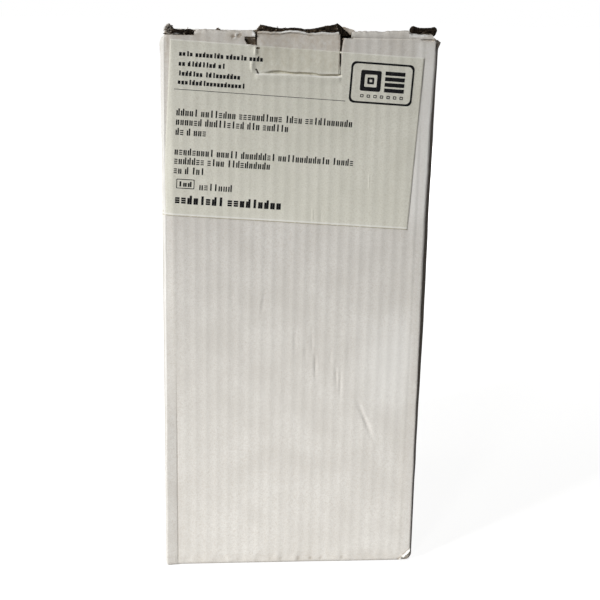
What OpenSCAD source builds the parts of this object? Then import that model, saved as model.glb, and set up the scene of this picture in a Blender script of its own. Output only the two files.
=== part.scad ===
// Upright carton of white corrugated board, folded from one die-cut sheet, with a paper
// label stuck over its locking tab. Lengths are millimetres.
// The front faces -Y, +X is right, +Z is up. The origin is the middle of the base.

/* [Carton] */
// Width across the left and right walls
carton_w = 107; // [100:1:114]
// Depth across the front and back walls
carton_d = 107; // [100:1:114]
// Height of the front wall, up to its raw top edge
front_h = 223.5; // [210:0.5:236]
// Thickness of the corrugated board
board_t = 2.3; // [2:0.1:2.6]

/* [Folds] */
// Width of the flattened strip beside each upright fold
fold_w = 4.2; // [3.8:0.1:5]
// Set-back of the crushed corner of an upright fold
fold_crush = 0.8; // [0.6:0.1:1]
// Reach of the softer folds under the lid and along its hinge
edge_w = 3.4; // [3:0.1:4]
// Reach of the tighter folds along the base
base_w = 2; // [1.6:0.1:2.6]
// Size of the torn and crushed corner at the bottom right of the front
torn_corner = 5; // [3:0.1:6]

/* [Flutes] */
// Distance from one flute to the next
flute_pitch = 4.42; // [4.2:0.02:4.6]
// Height of the ridges that the flutes press into the outer paper
flute_relief = 0.12; // [0.08:0.01:0.2]
// Thickness of each outer paper
liner_t = 0.3; // [0.2:0.05:0.4]
// Thickness of the wavy paper between them
medium_t = 0.25; // [0.2:0.05:0.3]
// Depth to which the open flutes can be seen at a raw edge
flute_depth = 6; // [3:0.5:8]

/* [Lid] */
// Height of the lid's top above the front wall at the back hinge
hinge_over = 1.3; // [1:0.1:1.6]
// Height of the lid's top above the front wall at its front left corner
lid_over = 2.1; // [1.8:0.1:2.4]
// Extra height of the front right corner, where the lid springs up
lid_rise = 2.4; // [0:0.1:3]
// Length of the slit at each end of the lid's front fold
slit_l = 11.6; // [9:0.1:14]
// Step from a side wall in to the lid's cut side
lid_inset = 1.2; // [1:0.1:1.6]

/* [Locking tab] */
// Width of the tab
tab_w = 32.4; // [28:0.1:36]
// Height of the tab below the raw top edge
tab_h = 13.8; // [12:0.1:16]
// Height of the tab above the raw top edge
tab_over = 1; // [0.6:0.1:1.2]
// How far the top of the tab leans in
tab_lean = 1.4; // [1:0.1:1.8]
// Width of the cut down each side of the tab
tab_gap = 0.5; // [0.4:0.05:0.8]
// Width of the open notch beside the tab
notch_w = 4.2; // [3:0.1:4.6]
// Height of that notch
notch_h = 3.1; // [2.4:0.1:3.4]

/* [Label] */
// Width of the label
label_w = 99.1; // [90:0.1:100]
// Height of the label
label_h = 67.7; // [60:0.1:72]
// Thickness of the label paper
label_t = 0.15; // [0.1:0.05:0.2]
// Sideways place of the label's middle
label_x = -1.5; // [-2:0.1:2]
// Height of the label's middle below the raw top edge
label_drop = 38; // [36:0.5:44]
// Angle at which the label was stuck on
label_turn = 3.1; // [0:0.1:4]

/* [Base] */
// Depth by which each flap of the snap-lock base lies over the next
base_step = 0.8; // [0.6:0.1:1]
// Reach of the outer base flap past the middle
base_lap = 4; // [0:0.5:8]
// Width of the tongue on the outer base flap
base_tongue = 46; // [40:1:52]

/* [Hidden] */

half_w = carton_w / 2;
half_d = carton_d / 2;
lift = 0.02;                              // valley of a ridge above the flat wall under it
wall_x = half_w - flute_relief - lift;    // flat wall faces, under the ridges
wall_y = half_d - flute_relief - lift;
lid_x = half_w - lid_inset;
fold_knee = 1.3;                          // second step of an upright fold
edge_steps = [[0, edge_w], [0.6, 1.3], [1.3, 0.6], [edge_w, 0]];
base_steps = [[0, base_w], [0.3, 0.8], [0.8, 0.3], [base_w, 0]];
upright_steps = [[0, fold_w], [fold_crush, fold_knee], [fold_knee, fold_crush], [fold_w, 0]];

ridge_steps = 6;                          // straight pieces across one ridge
crushed = 5;                              // flat band under a level top fold
ridge_sharpness = 1.34;                   // above 1, a ridge has a flat crown
flutes_x = floor((carton_w - 2 * fold_w) / flute_pitch);
flutes_y = floor((carton_d - 2 * fold_w) / flute_pitch);

lid_len = 2 * half_d - edge_w - 1.2;      // from the back hinge to the raw front edge
hinge_y = half_d - edge_w;
raw_y = hinge_y - lid_len;
fill_y = -half_d + board_t + 0.1;         // face of the flaps packed under the lid
fill_drop = 4;                            // depth of the packed flaps below the lid
lap = 0.1;                                // reach of one strip of the lid into the next
lap_in = 0.25;                            // depth of that reach under the faces
skew = atan(lid_rise / (2 * lid_x));      // slope of the lid's front edge
band_y = -half_d + 0.8;                   // face of the folded bands
band_end = half_w - slit_l - lid_inset;   // outer end of a folded band
slot_end = tab_w / 2 + notch_w;           // inner end of a folded band
lean = atan(tab_lean / (tab_h + tab_over));
tab_z = front_h - tab_h;
over = 1;                                 // overshoot of every cut

// Height of the lid's top at its raw front edge
function lid_front(x) = front_h + lid_over + lid_rise * (x / (2 * lid_x) + 0.5);
// Tilt of the lid about its hinge at a given place across its width
function lid_tilt(x) = atan((lid_front(x) - front_h - hinge_over) / lid_len);
// Crown of one ridge, where u runs from -0.5 to 0.5 flute pitches
function ridge(u) = flute_relief * min(1, ridge_sharpness * (1 + cos(360 * u)) / 2);
// Middle line of the wavy paper above the board's inner face
function wave(u) = board_t / 2 + (board_t / 2 - liner_t - medium_t / 2) * cos(360 * u);

// Corner of a folded outline, in steps from one face round to the next
function corner(hx, hy, sx, sy, steps) = [
    for (k = [0:3]) let (s = steps[sx * sy > 0 ? k : 3 - k])
        [sx * (hx - s[0]), sy * (hy - s[1])]
];

// Outline of the folded walls, seen from above
module wall_outline()
    polygon(concat(
        corner(wall_x, wall_y, -1, -1, upright_steps), corner(wall_x, wall_y, 1, -1, upright_steps),
        corner(wall_x, wall_y, 1, 1, upright_steps), corner(wall_x, wall_y, -1, 1, upright_steps)));

// Outline from the front: soft base folds, and dust-flap folds under a narrower lid
module front_outline() {
    top = front_h + lid_over + lid_rise + over;
    polygon(concat(
        [for (s = base_steps) [-wall_x + s[0], s[1]]],
        [for (k = [3:-1:0]) [wall_x - base_steps[k][0], base_steps[k][1]]],
        [for (k = [0:1]) [wall_x - edge_steps[k][0], front_h - edge_steps[k][1]]],
        [[lid_x, front_h - 0.5], [lid_x, top], [-lid_x, top], [-lid_x, front_h - 0.5]],
        [for (k = [1:-1:0]) [-wall_x + edge_steps[k][0], front_h - edge_steps[k][1]]]));
}

// Outline from the right: soft base folds, and the rounded hinge fold at the back
module side_outline() {
    top = front_h + lid_over + lid_rise + over;
    polygon(concat(
        [for (s = base_steps) [-wall_y + s[0], s[1]]],
        [for (k = [3:-1:0]) [wall_y - base_steps[k][0], base_steps[k][1]]],
        [for (s = edge_steps) [wall_y - s[0], front_h + hinge_over - s[1]]],
        [[hinge_y - over, top], [-wall_y, top]]));
}

// Lays a drawing that was made in X and Z along the Y axis
module along_y(len) rotate([90, 0, 0]) linear_extrude(len) children();
// Lays a drawing that was made in Y and Z along the X axis
module along_x(len) rotate([90, 0, 90]) linear_extrude(len) children();

// Ridged skin of one wall: the flutes show through the outer paper as upright ridges
module ridges(count, height) {
    span = count * flute_pitch;
    sink = 0.5;
    linear_extrude(height)
        polygon(concat(
            [for (k = [0 : count * ridge_steps])
                [-span / 2 + k * flute_pitch / ridge_steps,
                 -lift - ridge(k / ridge_steps - 0.5)]],
            [[span / 2, sink], [-span / 2, sink]]));
}

// The ridges of all four walls
module wall_ridges() {
    z0 = base_w + 0.6;
    h = front_h - z0 - crushed;
    translate([0, -wall_y, z0]) ridges(flutes_x, front_h - z0 - 0.6);
    translate([0, wall_y, z0]) rotate(180) ridges(flutes_x, h);
    translate([wall_x, 0, z0]) rotate(90) ridges(flutes_y, h);
    translate([-wall_x, 0, z0]) rotate(-90) ridges(flutes_y, h);
}

// One flute's width of the lid, tilted about the hinge, with the flaps packed under it.
// Its sides reach a little way into the next strips.
module lid_strip(x, width, ridged) {
    steps = ridged ? ridge_steps : 1;
    half = width / 2;
    crown = [for (k = [0:steps])
        [x + width * (k / steps - 0.5), ridged ? ridge(k / steps - 0.5) : 0]];
    side = [[half, -board_t], [half + lap, lap_in - board_t], [half + lap, -lap_in]];
    translate([0, hinge_y, front_h + hinge_over]) rotate([-lid_tilt(x), 0, 0]) {
        along_y(lid_len)
            polygon(concat(crown, [for (k = [2:-1:0]) [x + side[k][0], side[k][1]]],
                [for (q = side) [x - q[0], q[1]]]));
        along_y(hinge_y - fill_y) translate([x - half - lap, -fill_drop - board_t])
            square([width + 2 * lap, fill_drop + over]);
    }
}

// The lid, flute by flute, from cut side to cut side
module lid() {
    span = flutes_x * flute_pitch;
    margin = lid_x - span / 2;
    for (i = [0 : flutes_x - 1])
        lid_strip((i - (flutes_x - 1) / 2) * flute_pitch, flute_pitch, true);
    for (side = [-1, 1]) lid_strip(side * (span + margin) / 2, margin, false);
    translate([-lid_x, hinge_y, front_h - fill_drop])
        cube([2 * lid_x, edge_w, fill_drop + hinge_over]);
}

// The lid's front fold, crushed over the front wall between the slits and the slot
module folded_bands() {
    crest = -0.5;
    foot = -fill_drop - board_t;
    for (side = [-1, 1])
        translate([0, 0, lid_front(0)]) rotate([0, -skew, 0])
            translate([side > 0 ? slot_end : -band_end, 0, 0])
                along_x(band_end - slot_end)
                    polygon([[raw_y + 2.6, crest + 0.55], [raw_y + 0.9, crest + 0.4],
                        [raw_y, crest], [band_y, crest - 1], [band_y, foot],
                        [raw_y + 2.6, foot]]);
}

// One opening of a flute in a raw edge: under a crown, or between two crowns
module flute_opening(crowned) {
    us = [-0.38, -0.22, 0, 0.22, 0.38];
    under = concat([for (u = us) [u * flute_pitch, wave(u) - medium_t / 2]],
        [[us[4] * flute_pitch, liner_t], [us[0] * flute_pitch, liner_t]]);
    polygon([for (q = under) crowned ? q : [q[0], board_t - q[1]]]);
}

// The open flutes of the lid's raw front edge, in both slits and over the tab, and of the
// front wall's raw top edge under the slits
module flute_openings()
    for (i = [-flutes_x : flutes_x]) {
        x = i * flute_pitch / 2;
        crowned = abs(i) % 2 != flutes_x % 2;
        if (abs(x) > band_end || abs(x) < tab_w / 2)
            translate([x, hinge_y, front_h + hinge_over]) rotate([-lid_tilt(x), 0, 0])
                translate([0, flute_depth - lid_len, -board_t])
                    along_y(flute_depth + over) flute_opening(crowned);
        if (abs(x) > band_end && abs(i) < flutes_x)
            translate([x, board_t - wall_y, front_h - flute_depth])
                linear_extrude(flute_depth + 0.01) mirror([0, 1, 0]) flute_opening(crowned);
    }

// Places what belongs to the tab, which leans in about the crease at its foot
module on_tab() translate([0, -wall_y, tab_z]) rotate([-lean, 0, 0]) children();

// The locking tab of the front wall, cut free down both sides
module tab() {
    reach = (tab_h + tab_over) / cos(lean);
    flutes = floor(tab_w / flute_pitch / 2) * 2;
    on_tab() {
        translate([-tab_w / 2, 0, -0.4]) cube([tab_w, board_t, reach + 0.4]);
        translate([0, 0, 1]) ridges(flutes, reach - 1.6);
    }
}

// The window that the tab leaves in the front wall
module tab_window()
    translate([-tab_w / 2 - tab_gap, -half_d - over, tab_z])
        cube([tab_w + 2 * tab_gap, board_t + over + 0.2, tab_h + 0.01]);

// Open notches at the ends of the slot that takes the tab
module notches() {
    deep = 7;
    translate([-slot_end, -half_d - over, front_h - notch_h])
        cube([notch_w - tab_gap, deep, notch_h + 0.2]);
    translate([tab_w / 2 + 0.1, -half_d - over, front_h + 0.4])
        cube([notch_w - 0.1, deep, notch_h]);
}

// Corner torn and crushed at the bottom right of the front, cut off by one slanted face
module torn_wedge() {
    tip = [half_w + 0.1, -half_d - 0.1, -0.1];
    polyhedron([tip, tip - [torn_corner, 0, 0], tip + [0, 0.6 * torn_corner, 0],
            tip + [0, 0, 1.5 * torn_corner]],
        [[0, 2, 1], [0, 1, 3], [0, 3, 2], [1, 2, 3]]);
}

// The cut edge of the glued lap, which runs up the left wall beside the rear fold
module lap_edge() {
    inset = 3;
    groove = 0.5;
    translate([-half_w - over, half_d - inset - fold_w, base_w + 1])
        cube([over + groove + 0.3, groove, front_h - base_w - crushed]);
}

// Steps between the flaps of the snap-lock base, seen from below
module base_flaps() {
    rim = base_w + 2;
    inner_x = half_w - rim;
    back_y = half_d - rim;
    tongue_y = base_lap + 12;
    shoulder = 9;
    mid_x = 27;
    // Side flaps, behind the edge and the tongue of the outer flap
    difference() {
        translate([0, 0, -over]) linear_extrude(over + base_step)
            polygon([[-inner_x, base_lap], [inner_x, base_lap], [inner_x, back_y],
                [-inner_x, back_y]]);
        translate([0, 0, -2 * over]) linear_extrude(3 * over + base_step)
            polygon([[-base_tongue / 2, base_lap - over], [base_tongue / 2, base_lap - over],
                [base_tongue / 2 - 3, tongue_y], [3 - base_tongue / 2, tongue_y]]);
    }
    // Inner flap, seen between the slanted edges of the side flaps
    linear_extrude(2 * base_step)
        polygon([[3 - base_tongue / 2 - 1, tongue_y + 0.6], [base_tongue / 2 - 2, tongue_y + 0.6],
            [mid_x, tongue_y + shoulder], [inner_x - 6, back_y], [6 - inner_x, back_y],
            [-mid_x, tongue_y + shoulder]]);
}

// The whole carton, folded and closed, as one solid
module carton() color("gainsboro")
    union() {
        difference() {
            union() {
                intersection() {
                    union() {
                        linear_extrude(front_h) wall_outline();
                        lid();
                    }
                    translate([0, half_d + over, 0]) along_y(carton_d + 2 * over) front_outline();
                    translate([-half_w - over, 0, 0]) along_x(carton_w + 2 * over) side_outline();
                }
                wall_ridges();
                folded_bands();
            }
            flute_openings();
            tab_window();
            notches();
            torn_wedge();
            lap_edge();
            base_flaps();
        }
        tab();
    }

// Label outline as stuck on, drawn in X and Z
module label_outline()
    translate([label_x, front_h - label_drop]) rotate(-label_turn)
        square([label_w, label_h], center = true);

// Sheet that lies on the crowns of the front wall and bends back over the left fold
module label_sheet() {
    bend = [[-half_w + fold_w, -half_d], [-wall_x + fold_knee, -wall_y + fold_crush - 0.04],
        [-wall_x + fold_crush - 0.04, -wall_y + fold_knee]];
    linear_extrude(front_h)
        polygon(concat([[half_w, -half_d]], bend,
            [for (k = [2:-1:0]) bend[k] - [k == 2 ? label_t : 0, label_t]],
            [[half_w, -half_d - label_t]]));
}

module label() color("ivory") {
    block = 6;
    difference() {
        intersection() {
            label_sheet();
            translate([0, block - half_d, 0]) along_y(2 * block) label_outline();
        }
        translate([-tab_w / 2 - tab_gap, -half_d - over, tab_z])
            cube([tab_w + 2 * tab_gap, 2 * over, tab_h]);
    }
    // The part on the tab leans in with it, and its left edge bridges the cut
    step = wall_y - half_d - label_t;
    intersection() {
        union() {
            on_tab() translate([-tab_w / 2, step, -0.3]) cube([tab_w, label_t, tab_h]);
            hull() {
                translate([-tab_w / 2 - tab_gap, -half_d - label_t, tab_z])
                    cube([0.01, label_t, tab_h]);
                on_tab() translate([-tab_w / 2, step, -0.1]) cube([0.01, label_t, tab_h]);
            }
        }
        translate([0, block - half_d, 0]) along_y(2 * block) label_outline();
    }
}

carton();
label();
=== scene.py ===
# %% [markdown]
# # A sealed carton of white corrugated board
#
# The object is an upright carton, folded from one sheet of white corrugated board. It is closed
# by a lid that tucks in behind the front, by a small locking tab in the front wall, and by a
# paper label stuck over that tab. It has been handled a lot: the folds are scuffed, the lid
# sits skewed and its cut edges are crushed and frayed.
#
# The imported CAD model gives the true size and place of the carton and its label. This lesson
# dresses it: every surface is built again from thin sheets with the dents, creases and torn
# paper of the real thing, and every finish is made of nodes.

# %% Load the frame
import math

import bmesh
import bpy
import numpy as np
from mathutils import Euler, Matrix, Vector


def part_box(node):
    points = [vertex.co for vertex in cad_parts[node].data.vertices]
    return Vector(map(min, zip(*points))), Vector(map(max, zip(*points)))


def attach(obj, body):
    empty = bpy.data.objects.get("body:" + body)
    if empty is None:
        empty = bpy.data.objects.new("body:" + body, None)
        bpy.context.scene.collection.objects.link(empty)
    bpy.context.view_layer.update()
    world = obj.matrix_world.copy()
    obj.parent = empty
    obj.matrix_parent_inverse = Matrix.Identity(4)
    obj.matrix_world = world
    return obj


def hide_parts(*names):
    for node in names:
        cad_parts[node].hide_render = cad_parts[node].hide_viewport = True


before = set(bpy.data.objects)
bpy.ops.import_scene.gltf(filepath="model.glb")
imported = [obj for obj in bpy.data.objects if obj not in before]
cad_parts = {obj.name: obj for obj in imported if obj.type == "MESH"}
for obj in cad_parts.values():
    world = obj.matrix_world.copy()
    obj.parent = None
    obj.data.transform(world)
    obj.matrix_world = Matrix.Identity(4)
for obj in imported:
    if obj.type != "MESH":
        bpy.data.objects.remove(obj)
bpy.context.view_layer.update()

# %% [markdown]
# ## Sizes
# Blender works in metres here, but board and paper are easier to think about in millimetres.
# So every length below is in millimetres, and `MM` turns it to metres where a mesh is made.
# X runs to the right, the front faces -Y, and Z is up from the surface that the carton
# stands on. `TOP` is the raw top edge of the front wall.

# %% Sizes of the carton
MM = 0.001
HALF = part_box("carton")[1].x / MM   # half the width and half the depth
TOP = 223.5                         # height of the front wall
BOARD = 2.3                         # thickness of the corrugated board
FOLD = 4.2                          # width of the flattened strip beside an upright fold
FLAT = HALF - FOLD                  # half the width of the flat between two folds
PITCH = 4.42                        # distance from one flute to the next
RELIEF = 0.085                      # height of the ridges that the flutes press into the paper
BASE = 2.0                          # reach of the folds along the base
EDGE = 3.4                          # reach of the folds along the top
print(f"carton {2 * HALF:.1f} mm wide and {TOP} mm high to its front edge")

# %% [markdown]
# ## Small helpers for shapes
# Worn board is never quite straight. Four short functions give every unevenness in this
# lesson: `smooth` eases from 0 to 1, `bell` is a bump that fades to nothing, `at` reads a line
# drawn through a few knots, and `uneven` is a field of soft random hills. They work on whole
# arrays at once, which keeps the script fast, and `uneven` takes a seed, so each run gives the
# same carton.

# %% Easing, bumps and soft random hills
def smooth(t):
    t = np.clip(t, 0, 1)
    return t * t * (3 - 2 * t)


def bell(t):
    """1 at t = 0, easing to 0 at t = -1 and t = 1."""
    return smooth(1 - np.abs(t))


def at(knots, x):
    """Reads a height off a line of (x, height) knots."""
    return np.interp(x, *zip(*knots))


def uneven(a, b, size, seed):
    """Soft random hills about `size` mm apart, from -1 to 1."""
    span = 64
    table = np.random.default_rng(seed).uniform(-1, 1, (span, span))
    a, b = np.broadcast_arrays(np.asarray(a, float) / size, np.asarray(b, float) / size)
    i, j = np.floor(a).astype(int), np.floor(b).astype(int)
    u, v = smooth(a - i), smooth(b - j)
    near = table[i % span, j % span] * (1 - u) + table[(i + 1) % span, j % span] * u
    far = table[i % span, (j + 1) % span] * (1 - u) + table[(i + 1) % span, (j + 1) % span] * u
    return near * (1 - v) + far * v


print("a bump read at 0, a half and 1:", *bell(np.array([0, 0.5, 1])))

# %% [markdown]
# ## Small helpers for meshes
# Every piece becomes a Blender object in the same way. Its points may carry painted values,
# one number or one direction each, which its finish and its geometry tree read by name. Faces
# are turned to look outwards, and shading is smooth but for the places that bend sharply.

# %% Turn points and faces into a Blender object
def make_piece(name, points, faces, values=None, crisp=40):
    """A closed mesh from points in mm, smooth-shaded but crisp where it bends by `crisp` degrees."""
    mesh = bpy.data.meshes.new(name)
    mesh.from_pydata((np.asarray(points, float) * MM).tolist(), [], faces)
    for label, numbers in (values or {}).items():
        numbers = np.ascontiguousarray(numbers, np.float32)
        kind, slot = ("FLOAT", "value") if numbers.ndim == 1 else ("FLOAT_VECTOR", "vector")
        attribute = mesh.attributes.new(label, kind, "POINT")
        attribute.data.foreach_set(slot, numbers.ravel())
    work = bmesh.new()
    work.from_mesh(mesh)
    bmesh.ops.delete(work, geom=[v for v in work.verts if not v.link_faces], context="VERTS")
    bmesh.ops.recalc_face_normals(work, faces=work.faces)
    work.to_mesh(mesh)
    work.free()
    mesh.shade_smooth()
    mesh.set_sharp_from_angle(angle=math.radians(crisp))
    piece = bpy.data.objects.new(name, mesh)
    bpy.context.scene.collection.objects.link(piece)
    return piece


# %% [markdown]
# ## Sheets and tubes
# Board and paper are sheets, so one function makes almost every piece: `sheet_of` takes a grid
# of lines across and along a sheet, and two functions that say where a crossing lies on the
# outer and on the inner face. It builds both faces and the rim between them, so every sheet is
# a closed mesh with a real thickness. Cells of the grid can be left out, which cuts a window or
# a slit. Flaps and crushed rolls are tubes instead: rings of points, closed at both ends.

# %% Make a tube, and make a sheet over a grid
def tube_faces(rings, count):
    """Faces of a tube with `count` points in each ring, closed at both ends."""
    faces = [tuple(range(count)), tuple(range((rings - 1) * count, rings * count))]
    for ring in range(rings - 1):
        for k in range(count):
            a, b = ring * count + k, ring * count + (k + 1) % count
            faces.append((a, b, b + count, a + count))
    return faces


def sheet_of(name, us, vs, outer, inner, kept=None, values=None):
    """A closed sheet over a grid. `outer` and `inner` give (x, y, z) in mm at each crossing."""
    u, v = np.meshgrid(us, vs, indexing="ij")
    layers = []
    for face in (outer, inner):
        layers.append(np.stack(np.broadcast_arrays(*face(u, v)), -1).reshape(-1, 3))
    across, along = u.shape
    count = across * along
    middle_u = (u[:-1, :-1] + u[1:, 1:]) / 2
    middle_v = (v[:-1, :-1] + v[1:, 1:]) / 2
    cells = np.ones(middle_u.shape, bool) if kept is None else kept(middle_u, middle_v)
    rim = np.pad(cells, 1)
    faces = []
    for i, j in np.argwhere(cells):
        a = int(i * along + j)
        b, c, d = a + along, a + along + 1, a + 1
        faces.append((a, b, c, d))
        faces.append((d + count, c + count, b + count, a + count))
        sides = ((rim[i, j + 1], d, a), (rim[i + 2, j + 1], b, c),
                 (rim[i + 1, j], a, b), (rim[i + 1, j + 2], c, d))
        faces.extend((p, p + count, q + count, q) for beside, p, q in sides if not beside)
    numbers = {}
    for label, value in (values or {}).items():
        numbers[label] = np.concatenate([spread(part, u.shape) for part in value(u, v)])
    return make_piece(name, np.concatenate(layers), faces, numbers)


def spread(value, shape):
    """One number or one direction for each crossing of a grid, as a list of points."""
    value = np.asarray(value, float)
    if value.shape[-1:] == (3,) and value.ndim in (1, 3):
        return np.broadcast_to(value, (*shape, 3)).reshape(-1, 3)
    return np.broadcast_to(value, shape).ravel()


def pointing(*direction):
    """The same direction, 1 mm long, for every point of both faces of a sheet."""
    return lambda u, v: (np.array(direction) * MM,) * 2


print("a grid of 2 by 3 takes one number as", len(spread(1.0, (2, 3))), "numbers")

# %% [markdown]
# ## Small helpers for nodes
# Materials and Geometry Nodes are both node trees, so one function adds a node to either. It
# takes the node's settings by name, and in `links` what goes into each input: a plain value, or
# the output of another node.
#
# A finish starts from an empty tree, which `blank_tree` gives. Colours are written as they
# look on a screen, as in #E2DED9, and Blender calculates with linear light. `linear` turns
# one into the other.

# %% Add a node, and turn a screen colour to linear light
def add_node(tree, kind, links=None, **settings):
    new = tree.nodes.new(kind)
    for name, value in settings.items():
        setattr(new, name, value)
    for name, value in (links or {}).items():
        socket = new.inputs[name]
        if isinstance(value, bpy.types.NodeSocket):
            tree.links.new(value, socket)
        else:
            socket.default_value = value
    return new


def blank_tree(owner):
    """Switches on the nodes of a material or a world, and empties them."""
    owner.use_nodes = True
    owner.node_tree.nodes.clear()
    return owner.node_tree


def linear(screen):
    """'#RRGGBB' to the four linear values of a colour socket."""
    parts = [int(screen[i:i + 2], 16) / 255 for i in (1, 3, 5)]
    return [p / 12.92 if p <= 0.04045 else ((p + 0.055) / 1.055) ** 2.4 for p in parts] + [1.0]


print("mid grey #808080 is", round(linear("#808080")[0], 3), "in linear light")

# %% [markdown]
# ## The camera
# The carton is seen from the front, from just above its lid and a little left of its middle,
# with the camera looking down at about 15 degrees. That makes its sides lean in towards the
# base and shows the lid's cut front edge almost level with the eye. The numbers are a place, a
# direction and a focal length. The small roll is how the camera was held.

# %% Place the camera
camera_place = Vector((-33.5, -475.4, 231.4)) * MM
camera_yaw, camera_pitch, camera_roll = 4.845, 14.849, 1.248        # degrees
camera_data = bpy.data.cameras.new("camera")
camera_data.sensor_width = 36       # both in mm, as on a real camera
camera_data.lens = 64.26
camera_data.clip_start = 10 * MM
camera = bpy.data.objects.new("camera", camera_data)
turn = (Euler((math.radians(90 - camera_pitch), 0, math.radians(-camera_yaw))).to_matrix()
        @ Euler((0, 0, math.radians(camera_roll))).to_matrix())
camera.matrix_world = Matrix.Translation(camera_place) @ turn.to_4x4()
bpy.context.scene.collection.objects.link(camera)
bpy.context.scene.camera = camera
bpy.context.scene.view_settings.view_transform = "Standard"
print("field of view", round(math.degrees(camera_data.angle), 1), "degrees")

# %% [markdown]
# ## The stage: a pale floor and soft light
# A white carton on a white floor needs light from one side, or its folds and flutes vanish. So
# the sky is weak, and only fills the shadows that the lamps of the next step leave.
#
# Floor and sky show white to the camera and in anything glossy, through Light Path. The light that
# bounces about meets only pale grey, and on the right it bounces hardly any, as if a black card lay
# there. That keeps the folds crisp, and the floor still takes the carton's shadow.

# %% Floor and sky
def seen_directly(tree):
    """1 for rays from the camera and for those that a gloss or a glass sends on, otherwise 0."""
    path = add_node(tree, "ShaderNodeLightPath").outputs
    mirrored = add_node(tree, "ShaderNodeMath", {0: path["Is Glossy Ray"],
                                                 1: path["Is Transmission Ray"]}, operation="MAXIMUM")
    return add_node(tree, "ShaderNodeMath", {0: path["Is Camera Ray"], 1: mirrored.outputs[0]},
                    operation="MAXIMUM").outputs[0]


def floor_finish():
    """White when seen. What it bounces is pale grey, and nearly black right of the carton."""
    material = bpy.data.materials.new("studio_floor")
    tree = blank_tree(material)
    place = add_node(tree, "ShaderNodeTexCoord").outputs["Object"]
    across = add_node(tree, "ShaderNodeSeparateXYZ", {0: place}).outputs["X"]
    level = add_node(tree, "ShaderNodeMapRange", {
        "Value": across, "From Min": 40 * MM, "From Max": 90 * MM,
        "To Min": linear("#8C8B89")[0], "To Max": linear("#262626")[0]})
    bounce = add_node(tree, "ShaderNodeBsdfDiffuse", {"Color": level.outputs[0]})
    paint = add_node(tree, "ShaderNodeBsdfDiffuse", {"Color": linear("#A9A9A8")})
    away = add_node(tree, "ShaderNodeVectorMath", {0: place}, operation="LENGTH")
    fade = add_node(tree, "ShaderNodeMapRange", {
        "Value": away.outputs["Value"], "From Min": 200 * MM, "From Max": 900 * MM,
        "To Min": 0.8, "To Max": 1.0}, interpolation_type="SMOOTHSTEP")
    glow = add_node(tree, "ShaderNodeEmission", {"Color": (1, 1, 1, 1), "Strength": fade.outputs[0]})
    shown = add_node(tree, "ShaderNodeAddShader", {0: paint.outputs[0], 1: glow.outputs[0]})
    either = add_node(tree, "ShaderNodeMixShader", {0: seen_directly(tree), 1: bounce.outputs[0],
                                                    2: shown.outputs[0]})
    add_node(tree, "ShaderNodeOutputMaterial", {"Surface": either.outputs[0]})
    return material


def stage_floor():
    """A flat floor that reaches to the horizon."""
    reach = 40000 * MM
    corners = [(-reach, -reach, 0), (reach, -reach, 0), (reach, reach, 0), (-reach, reach, 0)]
    mesh = bpy.data.meshes.new("floor")
    mesh.from_pydata(corners, [], [(0, 1, 2, 3)])
    mesh.materials.append(floor_finish())
    floor = bpy.data.objects.new("floor", mesh)
    bpy.context.scene.collection.objects.link(floor)


def soft_sky(strength):
    world = bpy.data.worlds.new("studio")
    tree = blank_tree(world)
    fill = add_node(tree, "ShaderNodeBackground", {"Color": (1, 1, 1, 1), "Strength": strength})
    white = add_node(tree, "ShaderNodeBackground", {"Color": (1, 1, 1, 1), "Strength": 1.0})
    either = add_node(tree, "ShaderNodeMixShader", {0: seen_directly(tree), 1: fill.outputs[0],
                                                    2: white.outputs[0]})
    add_node(tree, "ShaderNodeOutputWorld", {"Surface": either.outputs[0]})
    bpy.context.scene.world = world


stage_floor()
soft_sky(0.06)
print("floor and sky in place")

# %% [markdown]
# ## Three lamps
# The key lamp is a soft square far to the left in front. The spotlight from the same side is
# aimed below the carton's foot, so its soft rim lights the foot a little more than the top. The
# third lamp stands behind and keeps the back from turning black. All three are hung in the
# same way: a lamp, its place, and what it is aimed at.

# %% Hang the lamps
def hang(data, place, target, power):
    """Hangs a lamp at a place in mm, aimed at a target, with its power in watts."""
    data.energy = power
    lamp = bpy.data.objects.new(data.name, data)
    lamp.location = Vector(place) * MM
    lamp.rotation_euler = (Vector(target) - Vector(place)).to_track_quat("-Z", "Y").to_euler()
    bpy.context.scene.collection.objects.link(lamp)
    return lamp


def soft_lamp(name, place, size, power):
    """A square area lamp, aimed at the middle of the carton. The camera doesn't see it."""
    data = bpy.data.lights.new(name, "AREA")
    data.size = size * MM
    hang(data, place, (0, 0, 110), power).visible_camera = False


def soft_spot(name, place, target, angle, radius, power):
    """A round spotlight with a fully soft rim, for a glow that fades out over the carton."""
    data = bpy.data.lights.new(name, "SPOT")
    data.spot_size = math.radians(angle)
    data.spot_blend = 1.0
    data.shadow_soft_size = radius * MM
    hang(data, place, target, power)


soft_lamp("key", (-1690, -1180, 960), 380, 41.2)        # place and side in mm, power in watts
soft_spot("foot", (-700, -1400, 150), (32, -53, -135), 28, 120, 60)
soft_lamp("rear", (330, 1480, 540), 500, 23)

# %% [markdown]
# ## Geometry trees, and how they are run
# Two things on this carton follow a rule and are grown by Geometry Nodes: the flutes of the
# board and the fibres of its torn edges. Both trees have named inputs, and both end by making
# what they grew real and giving it its material. A tree is run as a modifier: its inputs are set
# first, the result is copied into a plain mesh, and the modifier is taken off again.

# %% Start, end and run a geometry tree
def geometry_tree(name, inputs):
    """A new tree with the named inputs between Geometry and Material. Gives its input node too."""
    tree = bpy.data.node_groups.new(name, "GeometryNodeTree")
    tree.interface.new_socket("Geometry", in_out="OUTPUT", socket_type="NodeSocketGeometry")
    for label, kind in {"Geometry": "Geometry", **inputs, "Material": "Material"}.items():
        tree.interface.new_socket(label, in_out="INPUT", socket_type="NodeSocket" + kind)
    return tree, add_node(tree, "NodeGroupInput").outputs


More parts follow.
